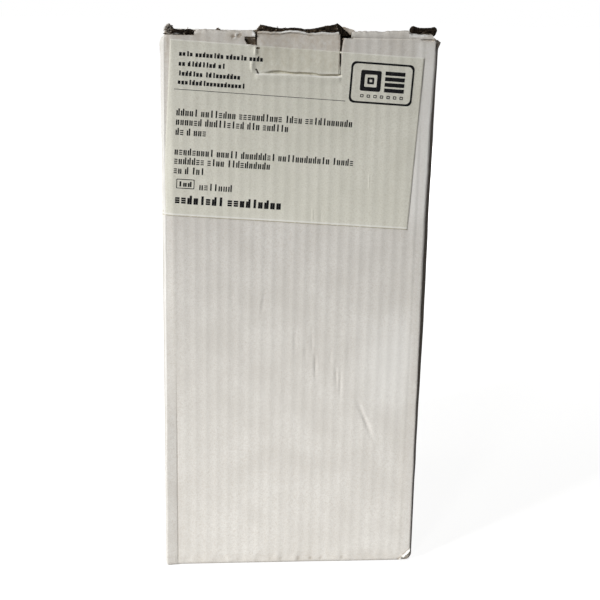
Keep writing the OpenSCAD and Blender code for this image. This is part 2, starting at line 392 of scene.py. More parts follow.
def finish_tree(tree, geometry, given):
    """Makes what the tree grew real and gives it its material."""
    real = add_node(tree, "GeometryNodeRealizeInstances", {"Geometry": geometry})
    finish = add_node(tree, "GeometryNodeSetMaterial", {"Geometry": real.outputs[0],
                                                        "Material": given["Material"]})
    add_node(tree, "NodeGroupOutput", {"Geometry": finish.outputs[0]})
    return tree


def run_tree(piece, tree, settings):
    """Runs a tree on a piece, and keeps the result as the piece's own plain mesh."""
    modifier = piece.modifiers.new("tree", "NODES")
    modifier.node_group = tree
    for item in tree.interface.items_tree:
        if item.in_out == "INPUT" and item.name in settings:
            modifier[item.identifier] = settings[item.name]
    bpy.context.view_layer.update()
    made = piece.evaluated_get(bpy.context.evaluated_depsgraph_get())
    mesh = bpy.data.meshes.new_from_object(made)
    piece.modifiers.remove(modifier)
    piece.data = mesh
    mesh.name = piece.name
    return piece


print("every tree ends in Realize Instances and Set Material")

# %% [markdown]
# ## The flutes, made by Geometry Nodes
# Corrugated board is two flat papers with a wavy one, the medium, glued between them. The waves
# are called flutes, and on a closed carton they show as soft ridges, pressed into the outer
# paper from behind. At the cut edges here they are crushed flat, so they need no tunnels.
#
# The ridges follow one rule, a wave across the board, so they come from Geometry Nodes. Each
# sheet carries three attributes: `across`, the distance across the flutes in mm, `fluted`, how
# much of the wave is left at that point, and `outward`, which way the wave stands. The tree
# moves the points of a sheet by the wave. A ridge is narrower than the valley beside it, because
# the paper is glued down on the crowns only, and the Sharpness input sets that.

# %% The tree that presses flutes into a sheet
def flute_tree():
    tree, given = geometry_tree("press_flutes", dict.fromkeys(
        ("Pitch", "Height", "Crest", "Sharpness"), "Float"))

    def read(label, kind):
        field = add_node(tree, "GeometryNodeInputNamedAttribute", {"Name": label}, data_type=kind)
        return field.outputs["Attribute"]

    def maths(operation, a, b):
        return add_node(tree, "ShaderNodeMath", {0: a, 1: b}, operation=operation).outputs[0]

    turns = maths("DIVIDE", maths("SUBTRACT", read("across", "FLOAT"), given["Crest"]),
                  given["Pitch"])
    wave = maths("COSINE", maths("MULTIPLY", turns, 2 * math.pi), 0.0)
    raised = maths("POWER", maths("MULTIPLY", maths("ADD", wave, 1.0), 0.5), given["Sharpness"])
    height = maths("MULTIPLY", maths("MULTIPLY", raised, given["Height"]),
                   read("fluted", "FLOAT"))
    push = add_node(tree, "ShaderNodeVectorMath", {0: read("outward", "FLOAT_VECTOR"),
                                                   "Scale": height}, operation="SCALE")
    moved = add_node(tree, "GeometryNodeSetPosition", {"Geometry": given["Geometry"],
                                                       "Offset": push.outputs[0]})
    return finish_tree(tree, moved.outputs[0], given)


CREST = -0.7                        # place of the flute nearest to the middle of the front
SHARPNESS = 1.5                     # above 1, a ridge is narrower than the valley beside it
press_flutes = flute_tree()


def press(piece, material):
    """Presses this board's flutes into a piece, where its own attributes say so."""
    return run_tree(piece, press_flutes, {"Pitch": PITCH, "Height": RELIEF, "Crest": CREST,
                                          "Sharpness": SHARPNESS, "Material": material})


print("geometry tree", press_flutes.name, "with", len(press_flutes.nodes), "nodes")

# %% [markdown]
# ## Paper and board
# The outside is white-top liner: a smooth, uncoated paper of bleached fibres. It is matt, very
# slightly warm, and never quite even: the fibres lie in soft clouds a millimetre or two across,
# and handling has greyed it in wider patches. Where it is scuffed it turns pinkish grey, and
# where it is torn the brown fluting paper shows.
#
# One function makes every paper of the carton, because they differ only in their colours and
# grain. The label is a slightly yellow uncoated paper. The fluting is recycled brown paper, but its
# finish is nearly black: painted shade, for the deep shade in and behind the crushed edges.
#
# Three painted attributes steer it: clean paper, which is also painted highlight where folds and
# edges face the light, greyed paper (`wear`), and torn paper, where the outer paper is gone,
# which is also painted shade in dents, creases, under edges and down a fold turned from the light.

# %% Nodes that the finishes share
def clouds(tree, size, detail):
    """Noise with its hills `size` mm apart."""
    place = add_node(tree, "ShaderNodeTexCoord").outputs["Object"]
    return add_node(tree, "ShaderNodeTexNoise", {"Vector": place, "Scale": 1 / (size * MM),
                                                 "Detail": detail}).outputs["Fac"]


def stretch(tree, value, low, high, top=1.0):
    """Spreads the values from `low` to `high` over 0 to `top`."""
    return add_node(tree, "ShaderNodeMapRange", {"Value": value, "From Min": low,
                                                 "From Max": high, "To Max": top}).outputs[0]


def mix(tree, share, a, b):
    """The colour `b` laid over the colour `a`. Inputs 6 and 7 of the node are its colours."""
    return add_node(tree, "ShaderNodeMix", {0: share, 6: a, 7: b}, data_type="RGBA").outputs[2]


def painted(tree, label, patches):
    """A painted value of the piece, broken up into patches."""
    value = add_node(tree, "ShaderNodeAttribute", attribute_name=label).outputs["Fac"]
    return add_node(tree, "ShaderNodeMath", {0: value, 1: patches}, operation="MULTIPLY").outputs[0]


# this white is clean paper, and painted highlight on folds and edges that face the light
CLEAN_AND_HIGHLIGHT_WHITE = "#F7F6F2"            # clean paper, as on a rubbed fold
print("rubbed paper is", [round(part, 2) for part in linear(CLEAN_AND_HIGHLIGHT_WHITE)[:3]], "in linear light")

# %% [markdown]
# ## One finish for every paper
# The paper's colour is laid on in coats, like paint: pale paper first, then soft clouds of a
# second tone in three sizes, then the three painted values, each with its own colour. Clean paper
# and painted highlight are laid on evenly, and wear, tears and painted shade are broken up by
# noise, so that they end in specks.
# The finest clouds also lift the surface a little, which gives the paper its tooth.

# %% A paper finish
def paper(name, pale, cloudy, scuffed, bare_and_shade, grain, depth, roughness, sheen=0.1):
    """`grain` is the size of the fibre clouds in mm, and `depth` their height in mm."""
    material = bpy.data.materials.new(name)
    tree = blank_tree(material)
    pale, cloudy, scuffed, bare_and_shade = (linear(colour) for colour in (pale, cloudy, scuffed, bare_and_shade))
    fine = clouds(tree, grain, 4)
    colour = mix(tree, stretch(tree, clouds(tree, 14, 3), 0.35, 0.65, 0.6), pale, cloudy)
    colour = mix(tree, stretch(tree, fine, 0.42, 0.72, 0.6), colour, cloudy)
    colour = mix(tree, stretch(tree, clouds(tree, 0.45, 2), 0.45, 0.72, 0.35), colour, scuffed)
    # clean paper, and painted highlight where folds and edges face the light
    colour = mix(tree, painted(tree, "clean_and_highlight", 1.0), colour, linear(CLEAN_AND_HIGHLIGHT_WHITE))
    patchy = painted(tree, "wear", stretch(tree, clouds(tree, 1.6, 5), 0.22, 0.72))
    colour = mix(tree, patchy, colour, scuffed)
    # torn paper, and painted shade in dents, creases, under edges and down the right fold
    ragged = painted(tree, "torn", stretch(tree, clouds(tree, 0.9, 4), 0.2, 0.45))
    colour = mix(tree, ragged, colour, mix(tree, fine, bare_and_shade, scuffed))
    bump = add_node(tree, "ShaderNodeBump", {"Height": fine, "Distance": depth * MM,
                                             "Strength": 1.0})
    shader = add_node(tree, "ShaderNodeBsdfPrincipled", {
        "Base Color": colour, "Roughness": roughness, "IOR": 1.5,
        "Specular IOR Level": sheen, "Normal": bump.outputs[0]})
    add_node(tree, "ShaderNodeOutputMaterial", {"Surface": shader.outputs[0]})
    return material


# the fourth colour of each paper is bare board, and also the colour of its painted shade
white_liner = paper("white_top_liner", "#E6E3DD", "#D6D2CB", "#C0B4A3", "#6E5C4B",
                    grain=1.3, depth=0.02, roughness=0.78)
# The fluting's near-black colours are painted shade for the crushed edges. Its streaks stay brown.
fluting_in_painted_shade = paper("fluting_in_painted_shade", "#1A1612", "#0F0D0B", "#6B5C4C", "#8A7D6E",
                        grain=0.5, depth=0.04, roughness=0.9, sheen=0.03)
frayed_paper = paper("frayed_fibres", "#BDB1A2", "#8E8172", "#E0D9CE", "#55493D",
                     grain=0.6, depth=0.01, roughness=0.9)
label_paper = paper("uncoated_label_paper", "#E8E6DA", "#DBD9CC", "#C4BDA8", "#B8AF9C",
                    grain=1.0, depth=0.01, roughness=0.7)
print("papers:", white_liner.name, fluting_in_painted_shade.name, frayed_paper.name, label_paper.name)

# %% [markdown]
# ## Toner
# Toner is a black plastic powder, melted flat. It is smoother than the paper round it, so it
# has a faint sheen, and where the paper is rough it covers unevenly and turns dark grey.

# %% A toner finish
def melted_toner():
    material = bpy.data.materials.new("melted_toner")
    tree = blank_tree(material)
    colour = add_node(tree, "ShaderNodeValToRGB", {"Fac": clouds(tree, 0.8, 3)})
    for stop, (place, shade) in zip(colour.color_ramp.elements,
                                    ((0.45, "#0F0F11"), (0.75, "#262628"))):
        stop.position, stop.color = place, linear(shade)
    shader = add_node(tree, "ShaderNodeBsdfPrincipled", {
        "Base Color": colour.outputs["Color"], "Roughness": 0.65, "Specular IOR Level": 0.08})
    add_node(tree, "ShaderNodeOutputMaterial", {"Surface": shader.outputs[0]})
    return material


toner = melted_toner()
print("finish of the print:", toner.name)

# %% [markdown]
# ## The upright walls
# The four walls are one piece of board, creased at the upright folds. The real way to make it
# is to fold a flat sheet. Here it is simpler to walk once round the outline, as seen from above,
# and to raise a column of points at each step. Each column knows its wall, its place along that
# wall and which way is out.
#
# Folding crushes the board beside a crease to a flat strip without flutes. The four folds
# differ: the left one is a crisp flat strip with a narrow facet round the corner, and the right
# one is worn round. So each fold gets its own short profile.

# %% Profiles of the folds
WALLS = {"front": ((1, 0), (0, -1)), "right": ((0, 1), (1, 0)),
         "back": ((-1, 0), (0, 1)), "left": ((0, -1), (-1, 0))}


def chain(q, knots, values):
    """Joins the values at the knots by straight lines. A value may be an array."""
    out = values[0] + 0 * q
    for a, b, low, high in zip(knots, knots[1:], values, values[1:]):
        out = out + (high - low) * np.clip((q - a) / (b - a), 0, 1)
    return out


def plain_fold(q, z):
    """Set-backs from the next wall's face and from this wall's, for q from 0 to 1."""
    crush = 0.8 + 0.3 * uneven(z, 0, 14, 5)
    knots = [0, 0.4, 0.6, 1]
    return chain(q, knots, [FOLD, 1.3, crush, 0]), chain(q, knots, [0, crush, 1.3, FOLD])


def round_fold(q, z):
    """The front right fold: a short round turn, then a strip that leans out to the side."""
    wide = 0.35 + 0.95 * smooth((TOP - 8 - z) / 30) - 0.35 * smooth((60 - z) / 50)
    wide = wide + 0.45 * bell((z - 112) / 58)
    turn = 1.4 - 0.5 * smooth((150 - z) / 60)
    out = 0.95 + 0.3 * bell((z - 183) / 25) + 0.3 * bell((z - 112) / 58) + 0.08 * uneven(z, 0, 9, 7)
    side = np.minimum(turn + 2.6 * wide, FOLD - 0.2)
    knots = [0, 0.3, 0.45, 0.6, 0.8, 1]
    next_face = chain(q, knots, [FOLD, wide + turn, wide + 0.35 * turn, wide, 0, 0.6])
    this_face = chain(q, knots, [RELIEF * 0.6, 0.08, 0.3 * turn, turn, side, FOLD])
    return next_face - out, this_face


print("half way round, a plain fold lies", *np.round(plain_fold(0.5, 100), 2), "mm back")

# %% [markdown]
# ## The fold at the left
# The front left fold is the one that the light from the left shows best. The board beside it is
# pressed to a narrow flat strip at a slant, wider towards the top, which meets the front at a
# crisp line. Higher up the board has sunk along that line, and low down it stands forward
# there. The label bends back over this fold, so it asks for the same drop with `left_drop`.

# %% The strip beside the left fold
LEFT_STRIP = [(0, 0.5), (35, 0.6), (117, 1.35), (183, 1.25), (199, 1.4), (222, 1.5)]


def left_slant(z):
    """How far the front has sunk beside the left strip. Low down it stands forward instead."""
    return at([(0, -0.67), (64, -0.6), (84, 0.05), (120, 0.5)], z) + 0.35 * bell((z - 176) / 30)


def strip_rise(x, z):
    """How far the inner end of the strip still stands forward on the flat of the front."""
    return 0.15 * np.clip(-48.1 - x, 0, 1.2) * smooth((100 - z) / 45)


def flat_fold(q, z):
    """The front left fold: a flat strip at a slant, which meets the front at a crisp line."""
    high = smooth((z - 130) / 50)
    knots = [0, 0.3, 0.7, 0.76, 1]
    turn = at(LEFT_STRIP, z) + 0.12 * uneven(z, 0, 11, 8)
    outer = 0.1 + 0.45 * (1 - high) * smooth(z / 30) - 0.3 * bell((z - TOP + 4) / 5)
    outer = np.minimum(outer, turn - 0.3)
    slant = left_slant(z)
    inner = RELIEF * 0.6 - strip_rise(FOLD - HALF, z)
    return (chain(q, knots, [FOLD, 1.9, 0.9 * slant, slant, inner]),
            chain(q, knots, [0.1, outer, turn, turn + 0.35, FOLD]))


def left_drop(x, z):
    """How far the board falls back from the front plane near the left fold."""
    inner = at(LEFT_STRIP, z) + 0.35 - HALF
    share = np.clip((FOLD - HALF - x) / (FOLD - HALF - inner), 0, 1)
    return left_slant(z) * share + np.clip(inner - x, 0, 3)


FOLDS = {"front": round_fold, "right": plain_fold, "back": plain_fold, "left": flat_fold}
print("the left strip is", LEFT_STRIP[0][1], "mm wide low down and", LEFT_STRIP[-1][1],
      "mm at the top")

# %% [markdown]
# ## What years of handling did to the front
# The front wall is seen closest, so it gets its own dents. A dent in corrugated board is mostly
# a short upright crease, because the board gives way between two flutes, and now and then a
# slanted one where something hard slid down. Each is written as its two ends, its half width
# and its depth, and `crease` presses it in so that it fades at both ends. A negative depth
# makes a ridge, like the small wrinkles in the label.

# %% Dents and creases of the front wall
TAB_LEFT, TAB_RIGHT = -16.4, 15.8   # edges of the locking tab
TAB_FOOT = TOP - 13.8               # crease at the foot of the tab
TAB_LEAN = 1.4                      # how far the top of the tab leans in at its right side
# x, and height over TAB_FOOT, of the crease and of the ridge below it
TAB_CREASE = [(-16.4, 0.1), (-13.6, 0.15), (-12.0, 0.45), (-10.1, 0.95), (-7.4, 1.0), (-3.5, 0.5),
              (-1.2, 0.4), (0.3, 0.6), (3.8, 0.4), (7.0, 0.25), (8.0, -0.2), (15.8, 0.0)]
TAB_RIDGE = [(-16.4, 0.0), (-6.0, 0.0), (-1.0, -0.1), (3.0, -0.15), (7.6, -0.6), (16.0, -0.6)]
# x and strength of the dips above the base fold
BASE_DIPS = [(-22.4, 0.4), (-8.3, 0.5), (-3.9, 0.5), (4.0, 0.7), (9.3, 1.0), (13.7, 0.7), (23.0, 0.8)]
DENTS = [  # x and z of both ends, half width, depth
    (26.0, 78.0, 36.4, 54.5, 1.0, 0.5),
    (9.0, 97.0, 9.6, 84.0, 0.9, 0.26),
    (7.2, 108.0, 8.2, 94.0, 1.0, 0.17),
    (0.3, 108.0, 0.8, 95.0, 1.0, 0.15),
    (4.9, 102.0, 5.1, 93.0, 1.0, 0.13),
    (17.6, 92.0, 18.6, 80.0, 0.9, 0.24),
    (15.2, 98.0, 15.8, 90.0, 0.9, 0.12),
    (19.8, 91.0, 20.2, 74.0, 0.9, 0.18),
    (22.8, 101.0, 22.9, 92.0, 0.9, 0.07),
    (-11.6, 125.0, -14.4, 109.0, 1.0, 0.13),
    (-1.6, 61.0, -0.9, 53.0, 0.8, 0.08),
    (-31.9, 112.0, -31.4, 107.0, 0.8, 0.06),
    (-26.0, 124.0, -25.2, 117.0, 1.3, 0.08),
    (-24.3, 186.5, -23.6, 180.0, 0.8, -0.08),
    (6.4, 159.0, 6.7, 149.5, 0.45, -0.11),
    (9.8, 158.0, 10.0, 150.0, 0.9, 0.07),
    (28.6, 172.5, 29.1, 164.0, 0.45, -0.12),
]
SLANTS = [  # wrinkles of the right band, given in the same way
    (21, TOP + 2.4, 24.5, TOP - 0.2, 0.5, 0.15),
    (29, TOP + 2.6, 33.5, TOP + 0.2, 0.6, 0.12),
    (36, TOP + 0.4, 39.5, TOP + 3, 0.5, 0.12),
]


def crease(x, z, x0, z0, x1, z1, half_width, depth):
    """A pressed-in line from one point to another, as a depth in mm."""
    run, rise = x1 - x0, z1 - z0
    length = math.hypot(run, rise)
    along = ((x - x0) * run + (z - z0) * rise) / length ** 2
    beside = ((x - x0) * rise - (z - z0) * run) / length
    return depth * bell(beside / half_width) * bell(2 * along - 1)


print(len(DENTS), "dents in the front wall")

# %% [markdown]
# ## Round the locking tab
# The tab bends in at its foot, and there the board gives way in a sharp crease, which is shallow
# only at its left end. Just below it the paper stands up in a ridge, because the crushed fluting
# has nowhere else to go. At the tab's left side the label was never cut, so pushing the tab in
# has drawn it into two short ridges.

# %% The crease at the tab's foot, and the ridges beside it
def across_tab(x, soft=1.5):
    return smooth((x - TAB_LEFT + 1) / soft) * smooth((TAB_RIGHT + 1 - x) / soft)


def foot_crease(x, z):
    """Depth of the crease at the tab's foot. The paper turns in sharply, then out in a slant."""
    above, below = TAB_FOOT + at(TAB_CREASE, x), TAB_FOOT + at(TAB_RIDGE, x)
    share = np.clip((above - z) / (above - below), 0, 1)
    deep = at([(-15.0, 0.35), (-11.0, 0.8), (-8.0, 1.15), (4.0, 1.1), (6.5, 0.8), (9.0, 1.2)], x)
    sunk = deep * (smooth((above + 0.35 - z) / 0.75) + 0.2 * share)
    step = 0.75 * smooth((z - below) / 0.14) + 0.25 * smooth((z - below + 0.7) / 0.7)
    lifted = 0.3 * np.clip((below - z) / 0.7, 0, 1) * smooth((z - below + 3.6) / 2.9)
    return across_tab(x) * (sunk * step - lifted)


def beside_cut(x, z):
    """Small ridges in the label left of the tab, where it was torn away from the board."""
    step = lambda x0: smooth((x - x0) / 0.55) * smooth((x0 + 2.3 - x) / 1.7)
    ridges = 0.5 * step(-17.75) * bell((z - TOP + 5.5) / 2.1)
    ridges = ridges + 0.45 * step(-19.0 - 0.04 * (z - TOP + 11)) * bell((z - TOP + 10.9) / 3.1)
    edge = 0.3 * bell((z - TOP + 3.25) / 0.4) * smooth((x + 20.5) / 1) * (x < TAB_LEFT)
    return ridges + edge


print("the crease at the tab's foot is", round(float(foot_crease(0.0, TAB_FOOT)), 2), "mm deep")

# %% [markdown]
# ## Marks along the edges
# The front's edges are where the carton is knocked most. The lower right corner is creased on
# a slant and torn, the board has sunk along the label's right edge, a crisp line runs beside
# the left strip, and small dips mark the base. They are functions of their own, because the
# walls are painted by the same marks later on.

# %% Torn foot, sunk edge, strip line and dips
def torn_foot(x, z):
    """The lower right corner is creased on a slant: a lifted edge, with crushed paper below it.
    Gives how far the paper stands forward, and where it is clean and where it is torn."""
    past = 0.738 * (x - 48.3) - 0.674 * (z - 0.9)
    here = (x > 47) * (z < 8)
    lifted = 0.6 * smooth(past / 0.9) - 1.15 * smooth((past - 1.0) / 0.4)
    crushed = 0.35 * uneven(x, z, 0.8, 77) * smooth((past - 1.2) / 0.5)
    clean = smooth(past / 0.15) * smooth((1.2 - past) / 0.2)
    torn = np.maximum(smooth((past - 1.15) / 0.2) * (0.55 + 0.4 * uneven(x, z, 0.6, 78)),
                      0.9 * bell((past + 0.15) / 0.3))
    return here * (lifted + crushed), here * clean, here * torn


def sunk_edge(x, z):
    """How deep the board has sunk along the label's right edge, and where the top was folded."""
    edge = 47.2 + 0.054 * (z - 185.5)
    slope = np.clip((51.8 - x) / (51.8 - edge), 0, 1) * smooth((x - edge + 0.3) / 0.4)
    line = smooth((x - 46.5) / 2) * smooth((52.3 - x) / 0.4) * bell((z - TOP + 0.2) / 0.5)
    return 0.1 * slope * smooth((z - 148) / 8) * smooth((TOP - 6.6 - z) / 1.2) + 0.8 * line


def strip_line(x, z):
    """A crisp line along the inner side of the left strip, low down on the front."""
    return bell((x + 48.1) / 0.5) * smooth((100 - z) / 45) * smooth(z / 4)


def base_dips(x, z):
    """Dips of a few millimetres just above the base fold, where the fluting gave way."""
    return sum(deep * bell((x - place) / 1.1) for place, deep in BASE_DIPS) * bell((z - 2.3) / 1.3)


print(len(BASE_DIPS), "dips along the base")

# %% [markdown]
# ## The whole front in one function
# `front_relief` adds everything up: slow waves of a board that is never flat, the dents, the
# pinched flutes above the base, the scraped patch on the left band, the line along which the
# right band rolls in, and its slanted wrinkles. Walls and label both read it, which is why the
# label lies snugly on the board.

# %% The relief of the front wall
def front_relief(x, z):
    """How far the front wall stands out of its flat plane, in mm."""
    out = 0.12 * uneven(x, z, 38, 3) + 0.03 * uneven(x, z, 9, 4)
    for dent in DENTS:
        out = out - crease(x, z, *dent)
    pinch = smooth((6.5 - z) / 4) * smooth(z / 1.5)
    out = out - 0.3 * pinch * (0.5 + 0.5 * uneven(x, 0, 2.6, 21))
    out = out - 0.15 * base_dips(x, z)
    scraped = bell((x + 24.4 - 0.9 * (z - TOP)) / 2.6) * bell((z - TOP - 0.1) / 1.8)
    roll_line = smooth((x - 17) / 1.5) * (0.25 + 0.75 * smooth((27 - x) / 9))
    roll_line = roll_line * bell((z - TOP - 0.1) / 0.42) * smooth((48 - x) / 3)
    slants = sum(crease(x, z, *slant) for slant in SLANTS)
    curl = 0.45 * smooth((x + 18.4) / 1.2) * (x < -16.8) * smooth((z - TOP) / 0.5)
    return (out + beside_cut(x, z) + curl + 0.5 * scraped * uneven(x, z, 0.7, 36)
            - 0.75 * roll_line - slants + 0.2 * (x > 17) * smooth((z - TOP - 0.4) / 1.2))


print("the longest dent goes", round(-float(front_relief(31.2, 66.2)), 2), "mm into the front")

# %% [markdown]
# ## Raising the walls
# On the front the columns stand about an eighth of a flute apart, so that dents and ridges come
# out round, and on the other walls one each millimetre is enough. The rows follow the same idea
# and are closest where something bends. At the foot and at the top the rows bend inwards over
# the soft folds, apart from the front wall, whose top edge is cut and stays sharp.
#
# The window for the locking tab, and the torn notch beside it, are steps in the front wall:
# two columns a hair apart, one at the surface and one pushed in. Left and right of them the
# board runs on past the top edge and is folded back over the lid. These two bands belong to the
# same sheet, so their columns are just a little higher and roll inwards at the top. The right
# band ends low, so that no dark pocket opens under the crushed roll that lies on it.

# %% Columns and rows of the walls
WINDOW_LEFT, WINDOW_RIGHT = TAB_LEFT - 0.5, TAB_RIGHT + 0.6
WINDOW_DEEP, NOTCH_DEEP = 4.6, 3.0  # how far the window and the notch go into the wall
NOTCH_LEFT, NOTCH_FOOT, NOTCH_HEAD = -21.2, TOP - 3.0, TOP - 0.1
BAND_LEFT, BAND_END = -40.4, -17.1  # both ends of the left band
BAND_RIGHT, BAND_STEP = 19.4, 42.4  # start of the right band, and the step near its end
HAIR = 0.07                         # distance between the two columns of a step


def merged(*lists, apart=0.2):
    """Sorted values without near doubles, where the first list always stays."""
    kept = list(lists[0])
    for value in np.concatenate(lists[1:]):
        if min(abs(value - k) for k in kept) > apart:
            kept.append(value)
    return np.array(sorted(kept))


def step_pair(*places):
    return [p + side * HAIR / 2 for p in places for side in (-1, 1)]


# Columns: places along a wall, and shares of the way round a fold
cuts = step_pair(WINDOW_LEFT, WINDOW_RIGHT, NOTCH_LEFT, BAND_LEFT, BAND_END, BAND_RIGHT, BAND_STEP)
front_columns = merged([-FLAT, FLAT, *np.arange(-48.7, -47.4, 0.2)] + cuts,
                       np.arange(-41, 49, 0.56), np.arange(-FLAT, FLAT, 0.8))
other_columns = np.linspace(-FLAT, FLAT, 99)
fold_columns = merged([0.02, 0.19, 0.22, 0.25, 0.29, 0.31, 0.69, 0.71, 0.79, 0.81, 0.975, 0.99],
                      np.linspace(0.04, 0.96, 15), apart=0.015)

# Rows over the base fold (how far in, and how high), and rows up the wall
foot_insets, foot_heights = np.transpose([(BASE, 0.0), (1.2, 0.12), (0.8, 0.3), (0.3, 0.8),
                                          (0.12, 1.2), (0.0, BASE)])
wall_rows = merged(step_pair(TAB_FOOT) + [TOP - EDGE - 1, *np.arange(2.4, 7.6, 0.4)],
                   np.arange(55, 80, 1.2), np.arange(205, TOP - EDGE - 0.6, 1.1),
                   np.arange(80, 127, 1.8), np.arange(11, 205, 2.6), apart=0.9)

# Rows at the top: below the cut edge, over a rolled edge, and up a band that rolls in at its end
cut_rows = np.array([3.4, 3.035, 2.965, 2.6, 2.2, 1.8, 1.4, 1.0, 0.8, 0.6, 0.45, 0.3, 0.22, 0.16,
                     0.1, 0.06, 0.02, 0])
quarter_turn = np.pi / 2 * np.linspace(0, 1, len(cut_rows))
roll_rows, roll_insets = EDGE * (1 - np.sin(quarter_turn)), EDGE * (1 - np.cos(quarter_turn))
band_rows = np.array([-3.4, -3.035, -2.965, -2.4, -1.9, -1.4, -1.0, -0.7, -0.385, -0.315, -0.1,
                      0.1, 0.35, 0.65])
band_ends = np.array([1.1, 0.6, 0.22, 0])       # the last rows, below the band's own ragged top
band_insets = np.append(np.zeros(len(band_rows)), [0.04, 0.22, 0.6, 1.3])
end_insets = np.append(np.zeros(len(band_rows)), [0.1, 0.6, 1.05, 1.6])
print(len(front_columns) + 3 * len(other_columns) + 4 * len(fold_columns), "columns and",
      len(foot_heights) + len(wall_rows) + len(cut_rows), "rows")

# %% [markdown]
# ## Where the points of a column go
# A column on the flat of a wall moves in and out with the wall's bow, its dents and its steps.
# A column in a fold follows that fold's profile instead. Two more things move the front: its
# right corner is crushed just below the lid, with a crack behind the bulge, and right of the
# tab the wall has moved aside, which opens a narrow wedge. The label bridges the board at the
# tab's foot, so the board is crushed deeper there than the label.

# %% Bow, dents, window and crushed corner
def side_relief(wall, t, z):
    """The other walls bow out a little and carry a few soft dents."""
    seed = {"right": 31, "back": 47, "left": 63}[wall]
    flat = smooth((FLAT - abs(t)) / 12)
    bow = 0.7 * np.cos(np.pi * t / 2 / HALF) * np.sin(np.pi * z / TOP)
    return flat * (bow + 0.35 * uneven(t, z, 30, seed) + 0.05 * uneven(t, z, 7, seed + 1)) \
        - 0.5 * crease(t, z, 12 - seed / 3, 150, 22 - seed / 3, 118, 1.6, 0.5) \
        - 0.5 * crease(t, z, seed / 2 - 30, 62, seed / 2 - 29, 44, 1.2, 0.4)


def recess(x, z):
    """How far the tab's window and the notch go into the front wall, in mm."""
    window = (x > WINDOW_LEFT) & (x < WINDOW_RIGHT) & (z > TAB_FOOT)
    foot = NOTCH_FOOT + 1.9 * bell((x - NOTCH_LEFT) / 1.3) - 0.25 * smooth((x + 19) / 2)
    head = np.where(x < BAND_END, NOTCH_HEAD, TOP + 1)
    notch = (x > NOTCH_LEFT) & (x < WINDOW_LEFT + 1) & (z > foot) & (z < head)
    return np.where(window, WINDOW_DEEP, np.where(notch, NOTCH_DEEP, 0.0))


def spread_cut(t, z):
    """The wall right of the tab has moved aside near the top, which opens a narrow wedge."""
    return 0.8 * smooth((z - TAB_FOOT - 7.5) / 6.5) * smooth((5 - abs(t - WINDOW_RIGHT - 1)) / 4)


def bed(x, z):
    """The board under the label is crushed deeper than the label at the tab's foot."""
    return 1.45 * across_tab(x, 1.0) * smooth((z - TAB_FOOT + 2.6) / 0.6) * (z < TAB_FOOT + 0.1)


def crumple(q, z):
    """The front right corner is crushed just below the lid. It bulges out, behind a deep crease.
    Gives how far it moves to the side and forward."""
    bulge = 1.0 * bell((z - TOP + 1.35) / 2.4) - 0.5 * bell((z - TOP) / 0.9)
    bulge = bulge * bell((q - 0.68) / 0.36) * (1 + 0.3 * uneven(z, 4 * q, 0.7, 55))
    split = 1.1 * bell((z - TOP + 1.9) / 2.5) * bell((q - 0.46) / 0.1)
    return bulge - 0.5 * split, 0.15 * bulge - split


def flat_points(wall, t, z):
    """x and y of a column on the flat of a wall, its wave, how scuffed it is, how deep it lies."""
    (ax, ay), (nx, ny) = WALLS[wall]
    if wall == "front":
        relief, deep, aside = front_relief(t, z) - bed(t, z), recess(t, z), spread_cut(t, z)
        sunk = sunk_edge(t, z) + 0.09 * strip_line(t, z) - strip_rise(t, z)
        upper = 1.0
    else:
        relief, deep, aside, sunk = side_relief(wall, t, z), 0.0, 0.0, 0.0
        upper = smooth((TOP - 4 - z) / 3)
    out = HALF - RELIEF * 0.6 + relief * smooth((FLAT + 0.5 - abs(t)) / 3) - deep - sunk
    wave = smooth((FLAT - abs(t)) / 1.2) * (deep == 0) * smooth((z - 2.5) / 2)
    wave = wave * (0.7 + 0.3 * smooth((z - 60) / 80)) * upper
    along = t + aside
    return nx * out + ax * along, ny * out + ay * along, wave, 0.14 * bell((FLAT - abs(t)) / 5), deep


def fold_points(wall, q, z):
    """The same for a column in the fold at the end of a wall. A fold has no flutes."""
    (ax, ay), (nx, ny) = WALLS[wall]
    next_back, this_back = FOLDS[wall](q, z)
    if wall == "front":
        aside, forward = crumple(q, z)
        this_back = this_back - forward + sunk_edge(HALF - next_back, z)
        next_back = next_back - aside
    x = ax * (HALF - next_back) + nx * (HALF - this_back)
    y = ay * (HALF - next_back) + ny * (HALF - this_back)
    return x, y, 0.0 * z, 0.05 if wall in ("left", "front") else 0.2, 0.0


print("the tab's window goes", recess(0.0, TOP), "mm into the wall")

# %% [markdown]
# ## The top edge
# Three kinds of edge meet at the top. The back rolls over into the lid, the side walls roll
# inwards under it, and the front is cut, apart from its two bands. Every column gets the same
# number of rows there, so a fold between two walls can simply blend one kind into the next.

# %% Rows at the top of a column
HINGE = 0.9                         # height of the lid's hinge above the front wall
order = list(WALLS)


def band_height(x):
    """How far the folded bands stand above the front wall's cut edge. Their tops are ragged."""
    ragged = 0.2 * uneven(x, 0, 1.1, 91) + 0.2 * uneven(x, 0, 4, 92)
    left = (x > BAND_LEFT) & (x < BAND_END)
    level = 2.2 - 0.9 * bell((x - BAND_LEFT) / 1.6) - 0.8 * bell((x - BAND_END) / 0.9)
    low_end = 2.0 + 0.9 * bell((x - BAND_STEP) / 1.5)
    right = np.where(x < BAND_STEP, 2.6 + 0.03 * (x - BAND_RIGHT), low_end) * (x > BAND_RIGHT)
    return np.where(left, level, right) + ragged * (left | (x > BAND_RIGHT))


def rolled(top):
    return top - roll_rows, roll_insets


def front_top(x):
    """Heights and insets of the top rows at a place along the front wall."""
    band = float(band_height(x))
    if not band:
        return TOP - cut_rows, 0 * cut_rows
    rows = np.concatenate([TOP + band_rows, TOP + band - band_ends])
    share = smooth((x - BAND_STEP) / 2.5)
    return rows, share * end_insets + (1 - share) * band_insets


